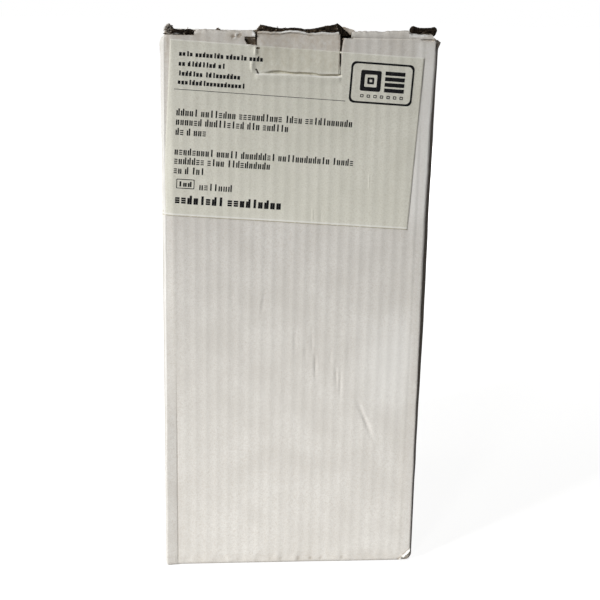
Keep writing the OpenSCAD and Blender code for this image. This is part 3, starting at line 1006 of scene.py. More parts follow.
def column_top(wall, t, q):
    """Heights and insets of the top rows of any column. In a fold, two walls blend."""
    tops = {"right": rolled(TOP), "back": rolled(TOP + HINGE), "left": rolled(TOP)}
    tops["front"] = front_top(t if q is None else FLAT if wall == "front" else -FLAT)
    here, following = tops[wall], tops[order[(order.index(wall) + 1) % len(order)]]
    share = 0.0 if q is None else float(smooth(q))
    if wall == "front" and q is not None:       # the band ends first, and the cut edge runs on
        ended = float(smooth((q - 0.19) / 0.03))
        cut = (TOP - cut_rows + 0.8 * float(smooth((0.4 - q) / 0.18)) * smooth(1 - cut_rows / 2),
               0 * cut_rows)
        here = [(1 - ended) * a + ended * b for a, b in zip(here, cut)]
        share = float(smooth((q - 0.62) / 0.3))
    return [(1 - share) * a + share * b for a, b in zip(here, following)]


print("the left band stands", round(float(band_height(-30)), 1), "mm above the cut edge")

# %% [markdown]
# ## What the walls' paper went through, with painted light and shade
# Three painted values tell the finish about each point. `wear` greys the paper, most of all
# near the top and along the folds. The torn value shows the brown board in the crack of the
# crushed corner and in the scraped patch on the left band. It also paints shade: in the dips
# above the base fold, along a line beside the left strip, and down the right fold, which faces
# away from the light, and it darkens the bottom edge. The clean value is white paper on the torn
# ends of the bands, partly painted highlight there. It also paints highlight along the left fold,
# which faces the light, and light beside the label and on a broad patch low on the front's right.

# %% Paint for one column
def scraped(x, y, z):
    """The scraped patch on the left band, and where flakes of its white paper are left."""
    away = np.hypot((x + 24.4 - 0.9 * (z - TOP)) / 2.6, (z - TOP - 0.1) / 1.5)
    return 0.75 * smooth((1 - away) / 0.4) * (y < 2 - HALF), uneven(x, z, 0.7, 36) > 0.1


def lighter_beside_label(z):
    """Where the front is painted lighter beside the label, from 0 to 1: painted light."""
    return smooth((z - 138) / 22) * smooth((TOP + 1 - z) / 4)


def column_wear(wall, q, x, y, z, folded):
    upper = smooth((z - TOP + 14) / 10) * (0.6 if wall == "front" else 0.25)
    upper = upper * smooth((HALF + 5 - abs(x)) / 9) * (1 - 0.6 * smooth((x - 17) / 3))
    if wall == "left" and q is not None:        # the narrow strip between the fold and the label
        upper = upper + 0.3 * smooth((q - 0.74) / 0.05) * smooth((z - 180) / 30)
    scuff = folded + 0.25 * smooth((7 - z) / 6) + upper
    return np.clip(scuff * (0.8 + 0.5 * uneven(x + y, z, 5, 12)), 0, 1)


def column_torn(wall, q, x, y, z):
    # Painted shade in the dips above the base fold and in the crisp line beside the left strip
    dip_and_line_shade = (0.3 * strip_line(x, z) + 0.6 * base_dips(x, z)) * (y < 2 - HALF)
    # Darker along the bottom edge
    bottom_edge_dark = 0.6 * smooth((0.6 - z) / 0.4)
    line = smooth((x - 48.5) / 2) * (x < 52.3) * (y < -HALF + 1) * bell((z - TOP + 0.2) / 0.35)
    marks = [dip_and_line_shade, bottom_edge_dark, 0.8 * line]
    if wall == "left" and q is not None:        # a groove at the top of the left strip
        marks.append(0.55 * bell((q - 0.88) / 0.1) * smooth((z - TOP + 7) / 5))
    # On the front fold, the crushed corner's crack and the fold's cut top are torn paper, and the
    # worn share is painted shade down the fold's outer strip, which faces away from the light.
    if wall == "front" and q is not None:       # the crushed corner's crack, and the worn band
        worn = smooth((q - 0.47) / 0.06) * smooth((0.84 - q) / 0.04) * smooth((z - 25) / 60)
        marks += [bell((z - TOP + 1.9) / 2.5) * bell((q - 0.46) / 0.12),
                  smooth((z - TOP + 0.4) / 0.2) * smooth((q - 0.2) / 0.1), 0.75 * worn]
    return np.maximum.reduce(marks)


def column_clean_and_highlight(wall, t, q, z):
    # Painted highlight along the left fold, which faces the light
    if wall == "left" and q is not None:
        return float(smooth((q - 0.1) / 0.2) * smooth((0.74 - q) / 0.03)) * (
            0.5 + 0.15 * uneven(z, 0, 3, 13) - 0.3 * smooth((84 - z) / 20))
    if wall != "front":
        return 0.0 * z
    # On the front fold, painted light beside the label
    if q is not None:
        return 0.5 * float(smooth((0.42 - q) / 0.1)) * lighter_beside_label(z)
    # White paper on the torn ends of the bands, partly painted highlight where they face up
    rolled_end = smooth((t - BAND_STEP) / 0.3) * smooth((z - TOP - 0.8) / 0.3)
    curl = smooth((t + 18.5) / 0.4) * (t < BAND_END) * smooth((z - TOP + 0.2) / 0.4)
    # Painted light: a broad lighter patch low on the front's right side
    patch = 0.4 * bell((t - 42) / 24) * bell((z - 92) / 34)
    # Painted light beside the label
    beside = 0.5 * smooth((t - 44.5) / 2.5) * lighter_beside_label(z)
    return np.maximum.reduce([rolled_end, curl, patch, beside])


print("at z = 200 the front is rubbed", round(float(lighter_beside_label(200)), 1), "beside the label")

# %% [markdown]
# ## One column
# A column runs from the step down to the base flaps, out over the rim, up the wall and over its
# top edge, and ends a board's thickness further in. Its painted values are worked out at the
# same places, with a few fixed ones for the points that nobody sees.

# %% Raise one column
RIM = 4.0                           # width of the rim round the base flaps
SUNK = 1.6                          # depth of the innermost base flap above the floor
LINE = 0.05                         # a step too small to see, where a finish changes
MIDDLES = {"across": (0, 0), "fluted": (0, 0), "outward": ((0, 0, MM),) * 2, "wear": (0.3, 0),
           "clean_and_highlight": (0, 0), "torn": (0, 1)}     # painted values in the middle of both fans


def inwards(point, by):
    """Moves a point towards the carton's upright middle line."""
    return point * [1 - by / HALF, 1 - by / HALF, 1]


def raise_column(wall, t, q):
    """Points of one column and their painted values. `t` is None in a fold, `q` on a flat."""
    top_z, top_inset = column_top(wall, t, q)
    inset = np.concatenate([foot_insets, 0 * wall_rows, top_inset])
    z = np.concatenate([foot_heights, wall_rows, top_z])
    (ax, ay), (nx, ny) = WALLS[wall]
    direction = (nx, ny, 0) if q is None else (nx + ax, ny + ay, 0)
    found = flat_points(wall, t, z) if q is None else fold_points(wall, q, z)
    x, y, wave, folded, deep = found
    shrink = 1 - inset / HALF
    x = x * (np.where(z > TOP, 1, shrink) if wall == "front" else shrink)
    y = y * shrink
    rows = np.stack([x, y, z], -1)
    rim, line = inwards(rows[0], RIM - BASE), inwards(rows[-1], LINE)
    shelf, inside = inwards(rim, LINE) + [0, 0, SUNK], inwards(line, BOARD) - [0, 0, 0.8]
    if top_z[-1] > TOP + 0.5 and wall == "front":
        inside = line * [1, 1, 0] + [0, 0, TOP - 1]

    scrape, flakes = scraped(x, y, z)
    clean_and_highlight = column_clean_and_highlight(wall, t, q, z) + 0.7 * scrape * flakes
    wear = column_wear(wall, q, x, y, z, folded) * (deep == 0) * (1 - np.clip(clean_and_highlight, 0, 1))
    torn = np.where(deep > 0, 1.0, np.maximum(column_torn(wall, q, x, y, z), scrape))
    torn = torn * np.where(scrape > 0, ~flakes, 1)
    # Near the band's step the board's inner edge is painted lighter: painted light in a shaded pocket
    edge = 0.15 if wall == "front" and q is None and abs(t - BAND_STEP) < 1.6 else 1
    padded = lambda low, numbers, high: np.concatenate([[low, low], numbers, [high, high]])
    return np.concatenate([[shelf, rim], rows, [line, inside]]), {
        "across": np.full(len(z) + 4, 0.0 if t is None else t), "fluted": padded(0, wave, 0),
        "outward": np.tile(np.array(direction) * MM, (len(z) + 4, 1)),
        "wear": padded(0.3, wear, 0), "clean_and_highlight": padded(0, clean_and_highlight, 0), "torn": padded(0, torn, edge)}


print("one column has", len(raise_column("front", 0.0, None)[0]), "points")

# %% [markdown]
# ## One closed piece
# All columns have the same number of points, so each is joined to the next by a strip of
# four-sided faces. A fan of triangles closes the base inside the rim, where the innermost flap
# lies, and another one the mouth under the lid. Last, the torn corner at the bottom right is
# pressed in, because its crease runs over the front and the fold beside it in one line.

# %% Join the columns
def wall_faces(columns, rows):
    """Strips of faces from each column to the next, and a fan round the middle of both ends."""
    faces = []
    pairs = [(i * rows, (i + 1) % columns * rows) for i in range(columns)]
    for here, beside in pairs:
        faces.extend((here + j, beside + j, beside + j + 1, here + j + 1) for j in range(rows - 1))
    middle = columns * rows
    for here, beside in pairs:
        faces.append((here, middle, beside))
        faces.append((here + rows - 1, beside + rows - 1, middle + 1))
    return faces


def raise_walls():
    columns = []
    for wall in WALLS:
        columns += [raise_column(wall, t, None)
                    for t in (front_columns if wall == "front" else other_columns)]
        columns += [raise_column(wall, None, q) for q in fold_columns]
    points = np.array([column for column, _ in columns])
    values = {label: np.array([painted[label] for _, painted in columns]) for label in MIDDLES}

    # Press the slanted crease into the bottom right corner
    front = smooth((3 - HALF - points[..., 1]) / 1.5) * smooth(points[..., 2] / 0.4)
    forward, clean, ragged = torn_foot(points[..., 0], points[..., 2])
    points[..., 1] -= forward * front
    values["torn"] = np.maximum(values["torn"], ragged * front)
    values["clean_and_highlight"] = np.maximum(values["clean_and_highlight"], clean * front)

    for label, middles in MIDDLES.items():
        flat_list = values[label].reshape(-1, *values[label].shape[2:])
        values[label] = np.concatenate([flat_list, middles])
    middles = [[0, 0, SUNK], [0, 0, TOP - 1]]
    return make_piece("carton_walls", np.concatenate([points.reshape(-1, 3), middles]),
                      wall_faces(*points.shape[:2]), values)


carton_walls = press(raise_walls(), white_liner)
print("carton_walls has", len(carton_walls.data.polygons), "faces")

# %% [markdown]
# ## The lid
# The lid is the same board as the back wall, folded over at the top of it. It has been pushed
# shut many times, so it sags in the middle, and its front stands higher at the right than at
# the left. It is one slab with a worn top, whose height is a function of the place, so that the
# crushed edges in the next step can follow it.

# %% The lid's board
LID_HALF, LID_BACK, LID_FRONT = 52.3, HALF - EDGE, -51.0
# x and height above TOP of the lid's upper face at the front
LID_TOP = [(-52.3, 1.9), (-41, 1.9), (-38, 1.4), (-22, 1.4), (-17.5, 2.2), (-15, 3.1), (-9, 2.4),
           (0, 2.2), (8, 2.8), (14, 4.0), (17.4, 4.2), (20.8, 3.2), (22, 2.2), (40, 2.0),
           (43.1, 2.3), (44.3, 3.9), (53, 4.0)]


def lid_top(x, y):
    run = (LID_BACK - y) / (LID_BACK - LID_FRONT)
    level = 1.9 + 0.6 * x / HALF
    near = smooth(1 - (y - LID_FRONT) / 15)
    rise = HINGE + (level - HINGE) * run + (at(LID_TOP, x) - level) * near
    sag = 0.45 * np.sin(np.pi * run) * np.cos(np.pi * x / 2 / HALF)
    crush = 0.5 * smooth((abs(x) - LID_HALF + 1.6) / 1.6) * (1 - near)
    rough = (0.06 * uneven(x, y, 9, 15) + 0.03) * smooth((LID_BACK - y) / 6)
    return TOP + rise - sag - crush + rough + 0.22 * near ** 2 * uneven(x, y, 1.9, 16)


def ragged_front(x):
    """How far the torn front edge lies back, in mm."""
    return 0.35 * uneven(x, 0, 1.4, 17) + 0.35 * uneven(x, 0, 5, 18)


def lid_face(drop):
    def face(x, v):
        y = LID_FRONT + ragged_front(x) * (1 - v) ** 4 + (LID_BACK + 0.3 - LID_FRONT) * v
        worn = 2.2 * smooth((-x - 47) / 5) * smooth(1 - v / 0.12)
        return x + worn, y, lid_top(x, np.minimum(y, LID_BACK)) - drop
    return face


lid_xs = merged([-LID_HALF, LID_HALF, LINE - LID_HALF, LID_HALF - LINE],
                np.arange(-LID_HALF + 0.7, LID_HALF, 0.75), apart=0.02)
lid_vs = np.concatenate([[0, 0.001], np.arange(0.012, 0.3, 0.012), np.linspace(0.31, 1, 28)])


def lid_torn(x, v):
    """The raw edges are brown, but painted lighter under the steps of the right band: painted light
    against the shade there.
    """
    raw = np.maximum(abs(x) > LID_HALF - LINE / 2, v < 0.0005)
    return raw * (1 - 0.75 * bell((x - 19.5) / 3) - 0.8 * bell((x - 43.2) / 1.8)), 1.0


lid_board = sheet_of(
    "lid_board", lid_xs, lid_vs, lid_face(0), lid_face(BOARD),
    values={"across": lambda x, v: (x, x),
            "fluted": lambda x, v: (smooth((LID_HALF - 1 - abs(x)) / 2), 0.0),
            "outward": pointing(0, 0, 1), "torn": lid_torn,
            "wear": lambda x, v: (0.15 + 0.45 * smooth((0.09 - v) / 0.08), 0.0)})
press(lid_board, white_liner)
print("lid board has", len(lid_board.data.polygons), "faces")

# %% [markdown]
# ## The crushed edge of the lid
# Where the lid's raw edge looks out, at both ends and above the locking tab, the three papers
# have been crushed into dark, ragged rolls. The fluting is recycled brown paper, and the rolls'
# near-black colour is painted shade, for the deep shade in and behind the crushed edges. Two
# scraps go with the rolls: a thin tail at the far left, and a tuft of torn paper on the left band.
# Each has a lower and an upper outline as seen from the front, given as x and a height above `TOP`.

# %% Outlines of the rolls
LEFT_ROLL = ([(-51.6, 1.6), (-51.2, 1.1), (-50.7, 0.75), (-49.9, 0.35), (-49.2, 0.15),
              (-47.7, 0.08), (-41.2, 0.2), (-40.2, 0.8)],
             [(-51.6, 2.1), (-51.2, 2.9), (-50.6, 3.5), (-50.0, 3.7), (-49.3, 3.5), (-48.7, 2.75),
              (-48.0, 2.25), (-46.9, 2.0), (-45.7, 1.97), (-43.9, 2.1), (-42.0, 2.3),
              (-41.2, 2.06), (-40.4, 1.4), (-40.2, 1.2)])
LEFT_TAIL = ([(-52.3, 0.2), (-51.6, 0.15), (-50.0, 0.1)], [(-52.3, 0.45), (-51.7, 0.62),
                                                           (-51.0, 0.5), (-50.0, 0.3)])
RIGHT_ROLL = ([(43.0, 2.9), (43.4, 2.5), (44.4, 2.35), (46.3, 2.3), (51.3, 2.5), (51.9, 1.9),
               (52.4, 1.35), (52.9, 1.5), (53.3, 2.5), (53.7, 3.2)],
              [(43.0, 3.9), (43.4, 4.4), (44.2, 5.15), (44.9, 5.0), (45.8, 4.6), (48.9, 4.35),
               (51.6, 4.55), (52.6, 4.9), (53.2, 4.6), (53.7, 3.6)])
TAB_ROLL = ([(-16.8, 0.6), (-15.8, 1.2), (-14.5, 1.7), (-11.4, 1.6), (-7.6, 1.8), (-3.8, 2.1),
             (-0.7, 2.0), (1.6, 1.7), (4.0, 1.4), (6.3, 1.6), (8.6, 1.8), (15.0, 1.8), (16.0, 0.2),
             (18.3, 0.6), (19.4, 1.2)],
            [(-16.8, 1.9), (-15.8, 3.4), (-15.0, 4.3), (-14.0, 4.3), (-11.5, 3.75), (-7.6, 3.2),
             (-4.5, 3.35), (-1.9, 3.55), (0.5, 3.35), (2.0, 3.05), (4.5, 3.15), (6.6, 3.5),
             (9.7, 4.25), (13.5, 4.9), (14.8, 5.5), (16.2, 4.6), (17.4, 3.3), (18.7, 2.4),
             (19.4, 1.7)])
TUFT = ([(-32.2, 1.7), (-30.3, 1.8)], [(-32.2, 2.3), (-31.7, 2.9), (-31.0, 2.6), (-30.3, 2.4)])
print("the tab's roll is", round(TAB_ROLL[0][-1][0] - TAB_ROLL[0][0][0], 1), "mm long")

# %% [markdown]
# ## Making a roll
# A roll starts as a tube with boxy sections between its two outlines. Fine lengthwise ridges,
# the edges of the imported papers, and two sizes of soft hills make it rough. Three painted
# values colour it: brown streaks of torn paper, clean paper, and where fibres stand.

# %% A crushed roll
def roll_surface(outline, front, deep, seed):
    """x, y and z over a roll, and its upper outline and half its height there."""
    low, high = outline
    left, right = low[0][0], low[-1][0]
    xs = np.linspace(left, right, 2 + int((right - left) / 0.22))
    angles = np.linspace(0, 2 * np.pi, 30, endpoint=False)
    x, angle = np.meshgrid(xs, angles, indexing="ij")
    bottom, top = at(low, x), at(high, x)
    middle, half = (top + bottom) / 2, (top - bottom) / 2
    ends = np.sqrt(np.clip(np.minimum(x - left, right - x) / 0.5, 0, 1)) * 0.75 + 0.25
    boxy = lambda c: np.sign(c) * abs(c) ** 0.7
    z = TOP + middle + half * boxy(np.sin(angle)) * ends
    packed = 0.22 * np.cos(2 * np.pi * (z + 0.5 * uneven(x, 0, 5, seed)) / 0.7)
    rough = 0.28 * uneven(x, 2.2 * angle, 0.9, seed + 1) + 0.2 * uneven(x, z, 2.3, seed + 2)
    y = front + deep - (deep - rough - packed) * boxy(np.cos(angle)) * ends
    z = z + 0.14 * uneven(x, 2 * angle, 0.6, seed + 3) * (half > 0.3)
    return x, y, z, top, half


def nowhere(x, *_):
    """What a roll without brown streaks, fibres or clean paper has of them."""
    return 0 * x


def crushed_roll(name, outline, seed, brown=nowhere, frayed=nowhere, pale=nowhere,
                 front=-52.7, deep=2.2):
    """`brown` gives how many brown streaks show at x and at a share of the height from the top.
    `pale` gives where clean paper shows, at x and a height above TOP, and `frayed` where fibres
    stand at x. `front` is the y of the roll's front, and `deep` half its depth."""
    x, y, z, top, half = roll_surface(outline, front, deep, seed)
    streaks = smooth(0.4 + 1.3 * uneven(x, 7 * z, 1.8, seed + 4))
    streaks = streaks * brown(x, (TOP + top - z) / (2 * half))
    clean = pale(x, z - TOP) * (0.6 + 0.8 * uneven(x, 3 * z, 0.8, seed + 5))
    points = np.stack([x, y, z], -1).reshape(-1, 3)
    piece = make_piece(name, points, tube_faces(*x.shape), {
        "wear": streaks.ravel(), "frayed": frayed(x).ravel(),
        "clean_and_highlight": np.clip(clean, 0, 1).ravel()}, crisp=60)
    # a near-black finish: painted shade for the crushed edge
    piece.data.materials.append(fluting_in_painted_shade)
    return piece


def left_pale(x, z):
    """Clean paper at the worn left end, and a pale line low on the roll."""
    low_line = bell((z - 0.5) / 0.3) * smooth((x + 50) / 1.5) * smooth((-43.6 - x) / 2)
    return 0.2 * smooth((-48.6 - x) / 1.2) + 0.3 * low_line


def tab_brown(x, d):
    """The tab's roll is brown below and at its left, and black at its high right end."""
    below_and_left = [smooth((d - 0.3) / 0.25), 0.8 * smooth((-10 - x) / 4), 0.35 + 0 * x]
    return smooth((15 - x) / 1.5) * np.maximum.reduce(below_and_left)


lid_rolls = [
    crushed_roll("lid_edge_left", LEFT_ROLL, 41, pale=left_pale,
                 brown=lambda x, d: 0.1 + 1.1 * smooth((-47.5 - x) / 2),
                 frayed=lambda x: smooth((-48.3 - x) / 1.4) + 0.03),
    crushed_roll("lid_edge_tail", LEFT_TAIL, 45, deep=0.6),
    crushed_roll("lid_edge_tab", TAB_ROLL, 51, brown=tab_brown, front=-51.7,
                 frayed=lambda x: 0.02 + 0.3 * bell((x + 15.6) / 1.5) + 0.3 * bell(x - 14.7)),
    crushed_roll("lid_edge_right", RIGHT_ROLL, 61, brown=lambda x, d: 0.12 + 0 * x,
                 frayed=lambda x: 0.02 + 0 * x),
    crushed_roll("band_tuft", TUFT, 71, brown=lambda x, d: 1 + 0 * x,
                 frayed=lambda x: 0.6 + 0 * x, front=-53.1, deep=0.4)]
print(len(lid_rolls), "crushed rolls along the lid's edge")

# %% [markdown]
# ## Loose fibres
# Torn board frays into short bundles of fibres. They stand on the rolls like a coarse nap, thick
# at the left end, where the roll is worn to a ball, and sparse elsewhere. A second geometry tree
# grows them: it scatters points over a piece, by its `frayed` value, and puts a small bent
# thread on each, turned a little at random. The seed is fixed, so they always fall the same way.

# %% The tree that grows fibres
def bent_thread(tree, given):
    """One thread: a short bent line with a four-sided section."""
    line = add_node(tree, "GeometryNodeCurveQuadraticBezier", {
        "Resolution": 5, "Start": (0, 0, -0.1), "Middle": (0.3, 0, 0.3), "End": (0.9, 0.1, 0.35)})
    scale = add_node(tree, "ShaderNodeCombineXYZ", dict.fromkeys(range(3), given["Length"]))
    sized = add_node(tree, "GeometryNodeTransform", {"Geometry": line.outputs[0],
                                                     "Scale": scale.outputs[0]})
    section = add_node(tree, "GeometryNodeCurvePrimitiveCircle", {
        "Resolution": 4, "Radius": given["Thickness"]})
    tube = add_node(tree, "GeometryNodeCurveToMesh", {
        "Curve": sized.outputs[0], "Profile Curve": section.outputs[0], "Fill Caps": True})
    return tube.outputs[0]


def fibre_tree():
    tree, given = geometry_tree("grow_fibres", {"Density": "Float", "Length": "Float",
                                                "Thickness": "Float", "Seed": "Int"})
    frayed = add_node(tree, "GeometryNodeInputNamedAttribute", {"Name": "frayed"}, data_type="FLOAT")
    density = add_node(tree, "ShaderNodeMath", {0: frayed.outputs["Attribute"], 1: given["Density"]},
                       operation="MULTIPLY")
    points = add_node(tree, "GeometryNodeDistributePointsOnFaces", {
        "Mesh": given["Geometry"], "Density": density.outputs[0], "Seed": given["Seed"]})
    size = add_node(tree, "FunctionNodeRandomValue", {"Min": 0.5, "Max": 1.3, "Seed": given["Seed"]},
                    data_type="FLOAT")
    grown = add_node(tree, "GeometryNodeInstanceOnPoints", {
        "Points": points.outputs["Points"], "Instance": bent_thread(tree, given),
        "Rotation": points.outputs["Rotation"], "Scale": size.outputs[1]})
    lean = add_node(tree, "FunctionNodeRandomValue", {
        "Min": (-0.4, -0.4, -3.1), "Max": (0.4, 0.4, 3.1), "Seed": given["Seed"]},
                    data_type="FLOAT_VECTOR")
    turned = add_node(tree, "GeometryNodeRotateInstances", {
        "Instances": grown.outputs[0], "Rotation": lean.outputs[0]})
    return finish_tree(tree, turned.outputs[0], given)


grow_fibres = fibre_tree()
THREAD = 0.09                       # half the thickness of a thread
NAPS = {"lid_edge_left": (3.2, 0.75), "lid_edge_tab": (1.6, 0.7), "lid_edge_right": (1.0, 0.5),
        "band_tuft": (3.0, 0.6)}    # threads per square mm where it is fully frayed, and length
fibres = []
for roll in lid_rolls:
    if roll.name not in NAPS:
        continue
    density, length = NAPS[roll.name]
    patch = bpy.data.objects.new("fibres_on_" + roll.name, roll.data.copy())
    bpy.context.scene.collection.objects.link(patch)
    fibres.append(run_tree(patch, grow_fibres, {
        "Density": density / MM ** 2, "Length": length * MM, "Thickness": THREAD * MM, "Seed": 7,
        "Material": frayed_paper}))
print("fibre faces:", [len(patch.data.polygons) for patch in fibres])

# %% [markdown]
# ## The locking tab
# The tab is cut out of the front wall on three sides and creased at its foot. Pushed in behind
# the lid's edge, it keeps the carton shut. It leans in a little, and its top edge is torn: the
# white paper has come loose from the fluting and bulges forward to a thin ragged rim, whose
# upper side catches the light. At its left side the label and the white paper are torn through
# in two small places.

# %% Tab and its torn lip
LIP_TOP = [(-16.4, 1.8), (-14.5, 1.95), (-11.4, 1.8), (-7.6, 2.0), (-3.8, 2.4), (-0.7, 2.3),
           (1.6, 1.95), (4.0, 1.6), (6.3, 1.85), (8.6, 2.1), (11.7, 1.95), (15.8, 2.2)]


def tab_top(x):
    """Height of the tab's ragged top edge."""
    return TOP + at(LIP_TOP, x) - 0.45 + 0.1 * uneven(x, 0, 1.2, 23)


def tab_lean(x, z):
    """How far the tab's face lies behind the front wall's face."""
    side = 0.3 + 0.7 * smooth((x - TAB_LEFT) / 14)
    return 0.12 + (side * TAB_LEAN - 0.12) * np.clip((z - TAB_FOOT) / (TOP - TAB_FOOT), 0, 1.2)


def tab_face(x, z):
    crushed = 0.3 * bell((x - TAB_RIGHT) / 0.5)
    return tab_lean(x, z) + crushed - 0.06 * uneven(x, z, 6, 25)


def on_tab(extra):
    """The tab's face, or its back, `extra` mm behind the face."""
    def face(x, v):
        z = TAB_FOOT - 1.2 + (tab_top(x) - TAB_FOOT + 1.2) * v
        return x, tab_face(x, z) + 1.5 * bell((z - TAB_FOOT - 0.1) / 2.4) + extra - HALF, z
    return face


def holes(x, z):
    """Two places at the tab's left side where the label and the white paper are torn through."""
    spot = np.hypot((x + 15.95) / 0.85, (z - TOP + 4.35) / 0.42) < 1
    run = (z - TOP + 12.1) / -1.8
    slit = (abs(x + 16.75 - 0.95 * run) < 0.34) & (run > 0) & (run < 1)
    return (spot | slit) * 1.0


tab_xs = merged([TAB_LEFT, TAB_RIGHT, TAB_LEFT + LINE, TAB_RIGHT - LINE],
                np.arange(TAB_LEFT + 0.15, TAB_LEFT + 1.5, 0.12),
                np.arange(TAB_LEFT + 1.9, TAB_RIGHT, 0.55), apart=0.02)
tab_vs = merged([0, 0.965, 0.975, 1], np.arange(0.02, 0.2, 0.012), np.arange(0.56, 0.66, 0.012),
                np.arange(0.2, 0.95, 0.07), apart=0.009)


def tab_torn(x, v):
    """Brown at the cut edges and in the holes, and a painted shadow under the lip's left half."""
    rim = np.maximum((x < TAB_LEFT + LINE / 2) | (x > TAB_RIGHT - LINE / 2), v > 0.97)
    lip_shadow = 0.7 * bell((v - 0.95) / 0.022) * smooth((3 - x) / 2)
    return np.maximum.reduce([rim, holes(x, on_tab(0)(x, v)[2]), lip_shadow]), 1.0


tab_board = sheet_of(
    "tab_board", tab_xs, tab_vs, on_tab(RELIEF), on_tab(BOARD),
    values={"across": lambda x, v: (x, x),
            "fluted": lambda x, v: (0.8 * smooth((0.9 - v) / 0.1), 0.0),
            "outward": pointing(0, -1, 0), "torn": tab_torn,
            "wear": lambda x, v: (0.65 + 0.2 * smooth((v - 0.7) / 0.3), 0.0)})
press(tab_board, white_liner)
print("tab leans in", TAB_LEAN, "mm at the front wall's top edge")

# %% [markdown]
# ## The tab's lip
# The lip is the tab's own white paper, torn loose from the fluting along the top edge. It is a
# sheet on its own here, because it stands away from the board: it follows the tab's face at
# its lower edge, bulges forward, and curls back to a ragged rim.

# %% The loosened paper
LIP_THICK = 0.16


def lip(extra):
    """The loosened paper: it bulges forward along the tab's top edge and ends in a ragged rim."""
    def face(x, v):
        left = smooth((5.5 - x) / 2)
        bulge = 0.03 + left * (0.22 + 0.08 * uneven(x, 0, 2.2, 26)) + 0.34 * bell((x + 1.5) / 6.5)
        z = tab_top(x) - 0.55 + (1.0 + 0.12 * uneven(x, 0, 0.9, 28)) * v
        forward = bulge * smooth(v / 0.42) * (1 - 0.9 * np.clip((v - 0.5) / 0.5, 0, 1))
        return x, tab_face(x, z) - 0.04 - forward + extra - HALF, z
    return face


def lip_fresh(x, v):
    """Clean along the rim, apart from the left end and a scuffed place right of the middle."""
    rim = np.where(x < 5, 0.9 * smooth((v - 0.4) / 0.15), 0.8 * smooth((v - 0.72) / 0.1))
    return smooth((x + 9) / 3) * (1 - bell((x - 3.8) / 2.4)) * rim, 0


def lip_wear(x, v):
    return smooth((-6 - x) / 4) + 0.6 * smooth((0.5 - v) / 0.2) + 0.8 * bell((x - 3.8) / 2.4), 0.25


tab_lip = sheet_of("tab_lip", np.arange(TAB_LEFT + 0.2, TAB_RIGHT - 0.2, 0.3),
                   np.linspace(0, 1, 13), lip(0), lip(LIP_THICK),
                   values={"torn": lambda x, v: (0, 0.3), "clean_and_highlight": lip_fresh, "wear": lip_wear})
tab_lip.data.materials.append(white_liner)
print("the tab's lip has", len(tab_lip.data.polygons), "faces")

# %% [markdown]
# ## The flaps of the base
# The base closes without glue. The innermost flap came first, the two side flaps lie on it, and
# the outer flap goes over all three and locks with a tongue between the side flaps. Seen from
# below, the flaps are steps of well under a millimetre, because the board is pressed flat
# there. Each flap is an outline, raised a little above the floor where another one covers it.

# %% Outer flap and side flaps
def plate(name, outline, low, high):
    """A flat flap with brown cut edges, over an outline of x, y places in mm."""
    flat = np.array(outline, float)
    rings = [(low, 0.0), (low + LINE, 1.0), (high, 1.0)]    # height, and whether it is torn
    count = len(flat)
    points = np.concatenate([np.column_stack([flat, np.full(count, z)]) for z, _ in rings])
    torn = np.repeat([cut for _, cut in rings], count)
    piece = make_piece(name, points, tube_faces(len(rings), count),
                       {"torn": torn, "wear": np.full(len(points), 0.45)})
    piece.data.materials.append(white_liner)
    return piece


INNER = HALF - RIM - 0.3            # half width of the space inside the rim
LAP = 4.0                           # how far the outer flap reaches past the middle
outer_flap = plate("base_outer_flap", [
    (-INNER, -INNER), (INNER, -INNER), (INNER, LAP), (23, LAP), (20, LAP + 12), (-20, LAP + 12),
    (-23, LAP), (-INNER, LAP)], 0.0, SUNK + 0.4)
side_outline = [(23.3, LAP + 0.4), (INNER, LAP + 0.4), (INNER, INNER), (INNER - 6, INNER),
                (27, LAP + 21), (21, LAP + 12.6), (20.4, LAP + 12)]
side_flaps = [plate("base_side_flap_" + name, [(side * x, y) for x, y in side_outline], 0.8,
                    SUNK + 0.4) for name, side in (("left", -1), ("right", 1))]
print("base closed by 1 outer, 2 side and 1 inner flap")

# %% [markdown]
# ## The paper label
# The label is one sheet of uncoated paper, 99 by 68 mm, stuck on by hand and so a little
# crooked. It follows the front wall's dents and flutes, bends back over the left fold, and was
# cut along the right side of the locking tab. At the tab's left side nobody cut it, so it spans
# the gap like a small ramp, with wrinkles. Its lower edge has lifted a little and curls. Its own
# places are given as `s` to the right and `t` down from its top left corner, in mm, which is
# also how the print on it is laid out.

# %% Where the label lies
LABEL_WIDE, LABEL_HIGH, LABEL_THICK = 98.6, 68.1, 0.15
LABEL_MIDDLE, LABEL_TURN = (-2.16, 185.3), math.radians(-3.1)
GLUE = 0.06                         # gap between the paper's back and the board


def label_to_wall(s, t):
    """Turns places on the label to x and z on the front wall."""
    a, b = s - LABEL_WIDE / 2, LABEL_HIGH / 2 - t
    cos, sin = math.cos(LABEL_TURN), math.sin(LABEL_TURN)
    return LABEL_MIDDLE[0] + a * cos - b * sin, LABEL_MIDDLE[1] + a * sin + b * cos


def behind(x, z):
    """How far the label's back lies behind the front plane, in mm."""
    relief = front_relief(x, z) * smooth((FLAT + 0.5 - abs(x)) / 3)
    wall = RELIEF * 0.6 + left_drop(x, z) - relief
    above = smooth((z - TAB_FOOT) / 0.5)
    over_gap = smooth((x - TAB_LEFT + 0.6) / 2.6) * (x < TAB_RIGHT + 0.25) * above
    wrinkle = 0.1 * bell((x - TAB_LEFT + 1.6) / 1.6) * uneven(x, z, 0.9, 34) * above
    on_tab = np.maximum(tab_face(x, z) - RELIEF, 0.05)
    return wall * (1 - over_gap) + on_tab * over_gap + foot_crease(x, z) + wrinkle


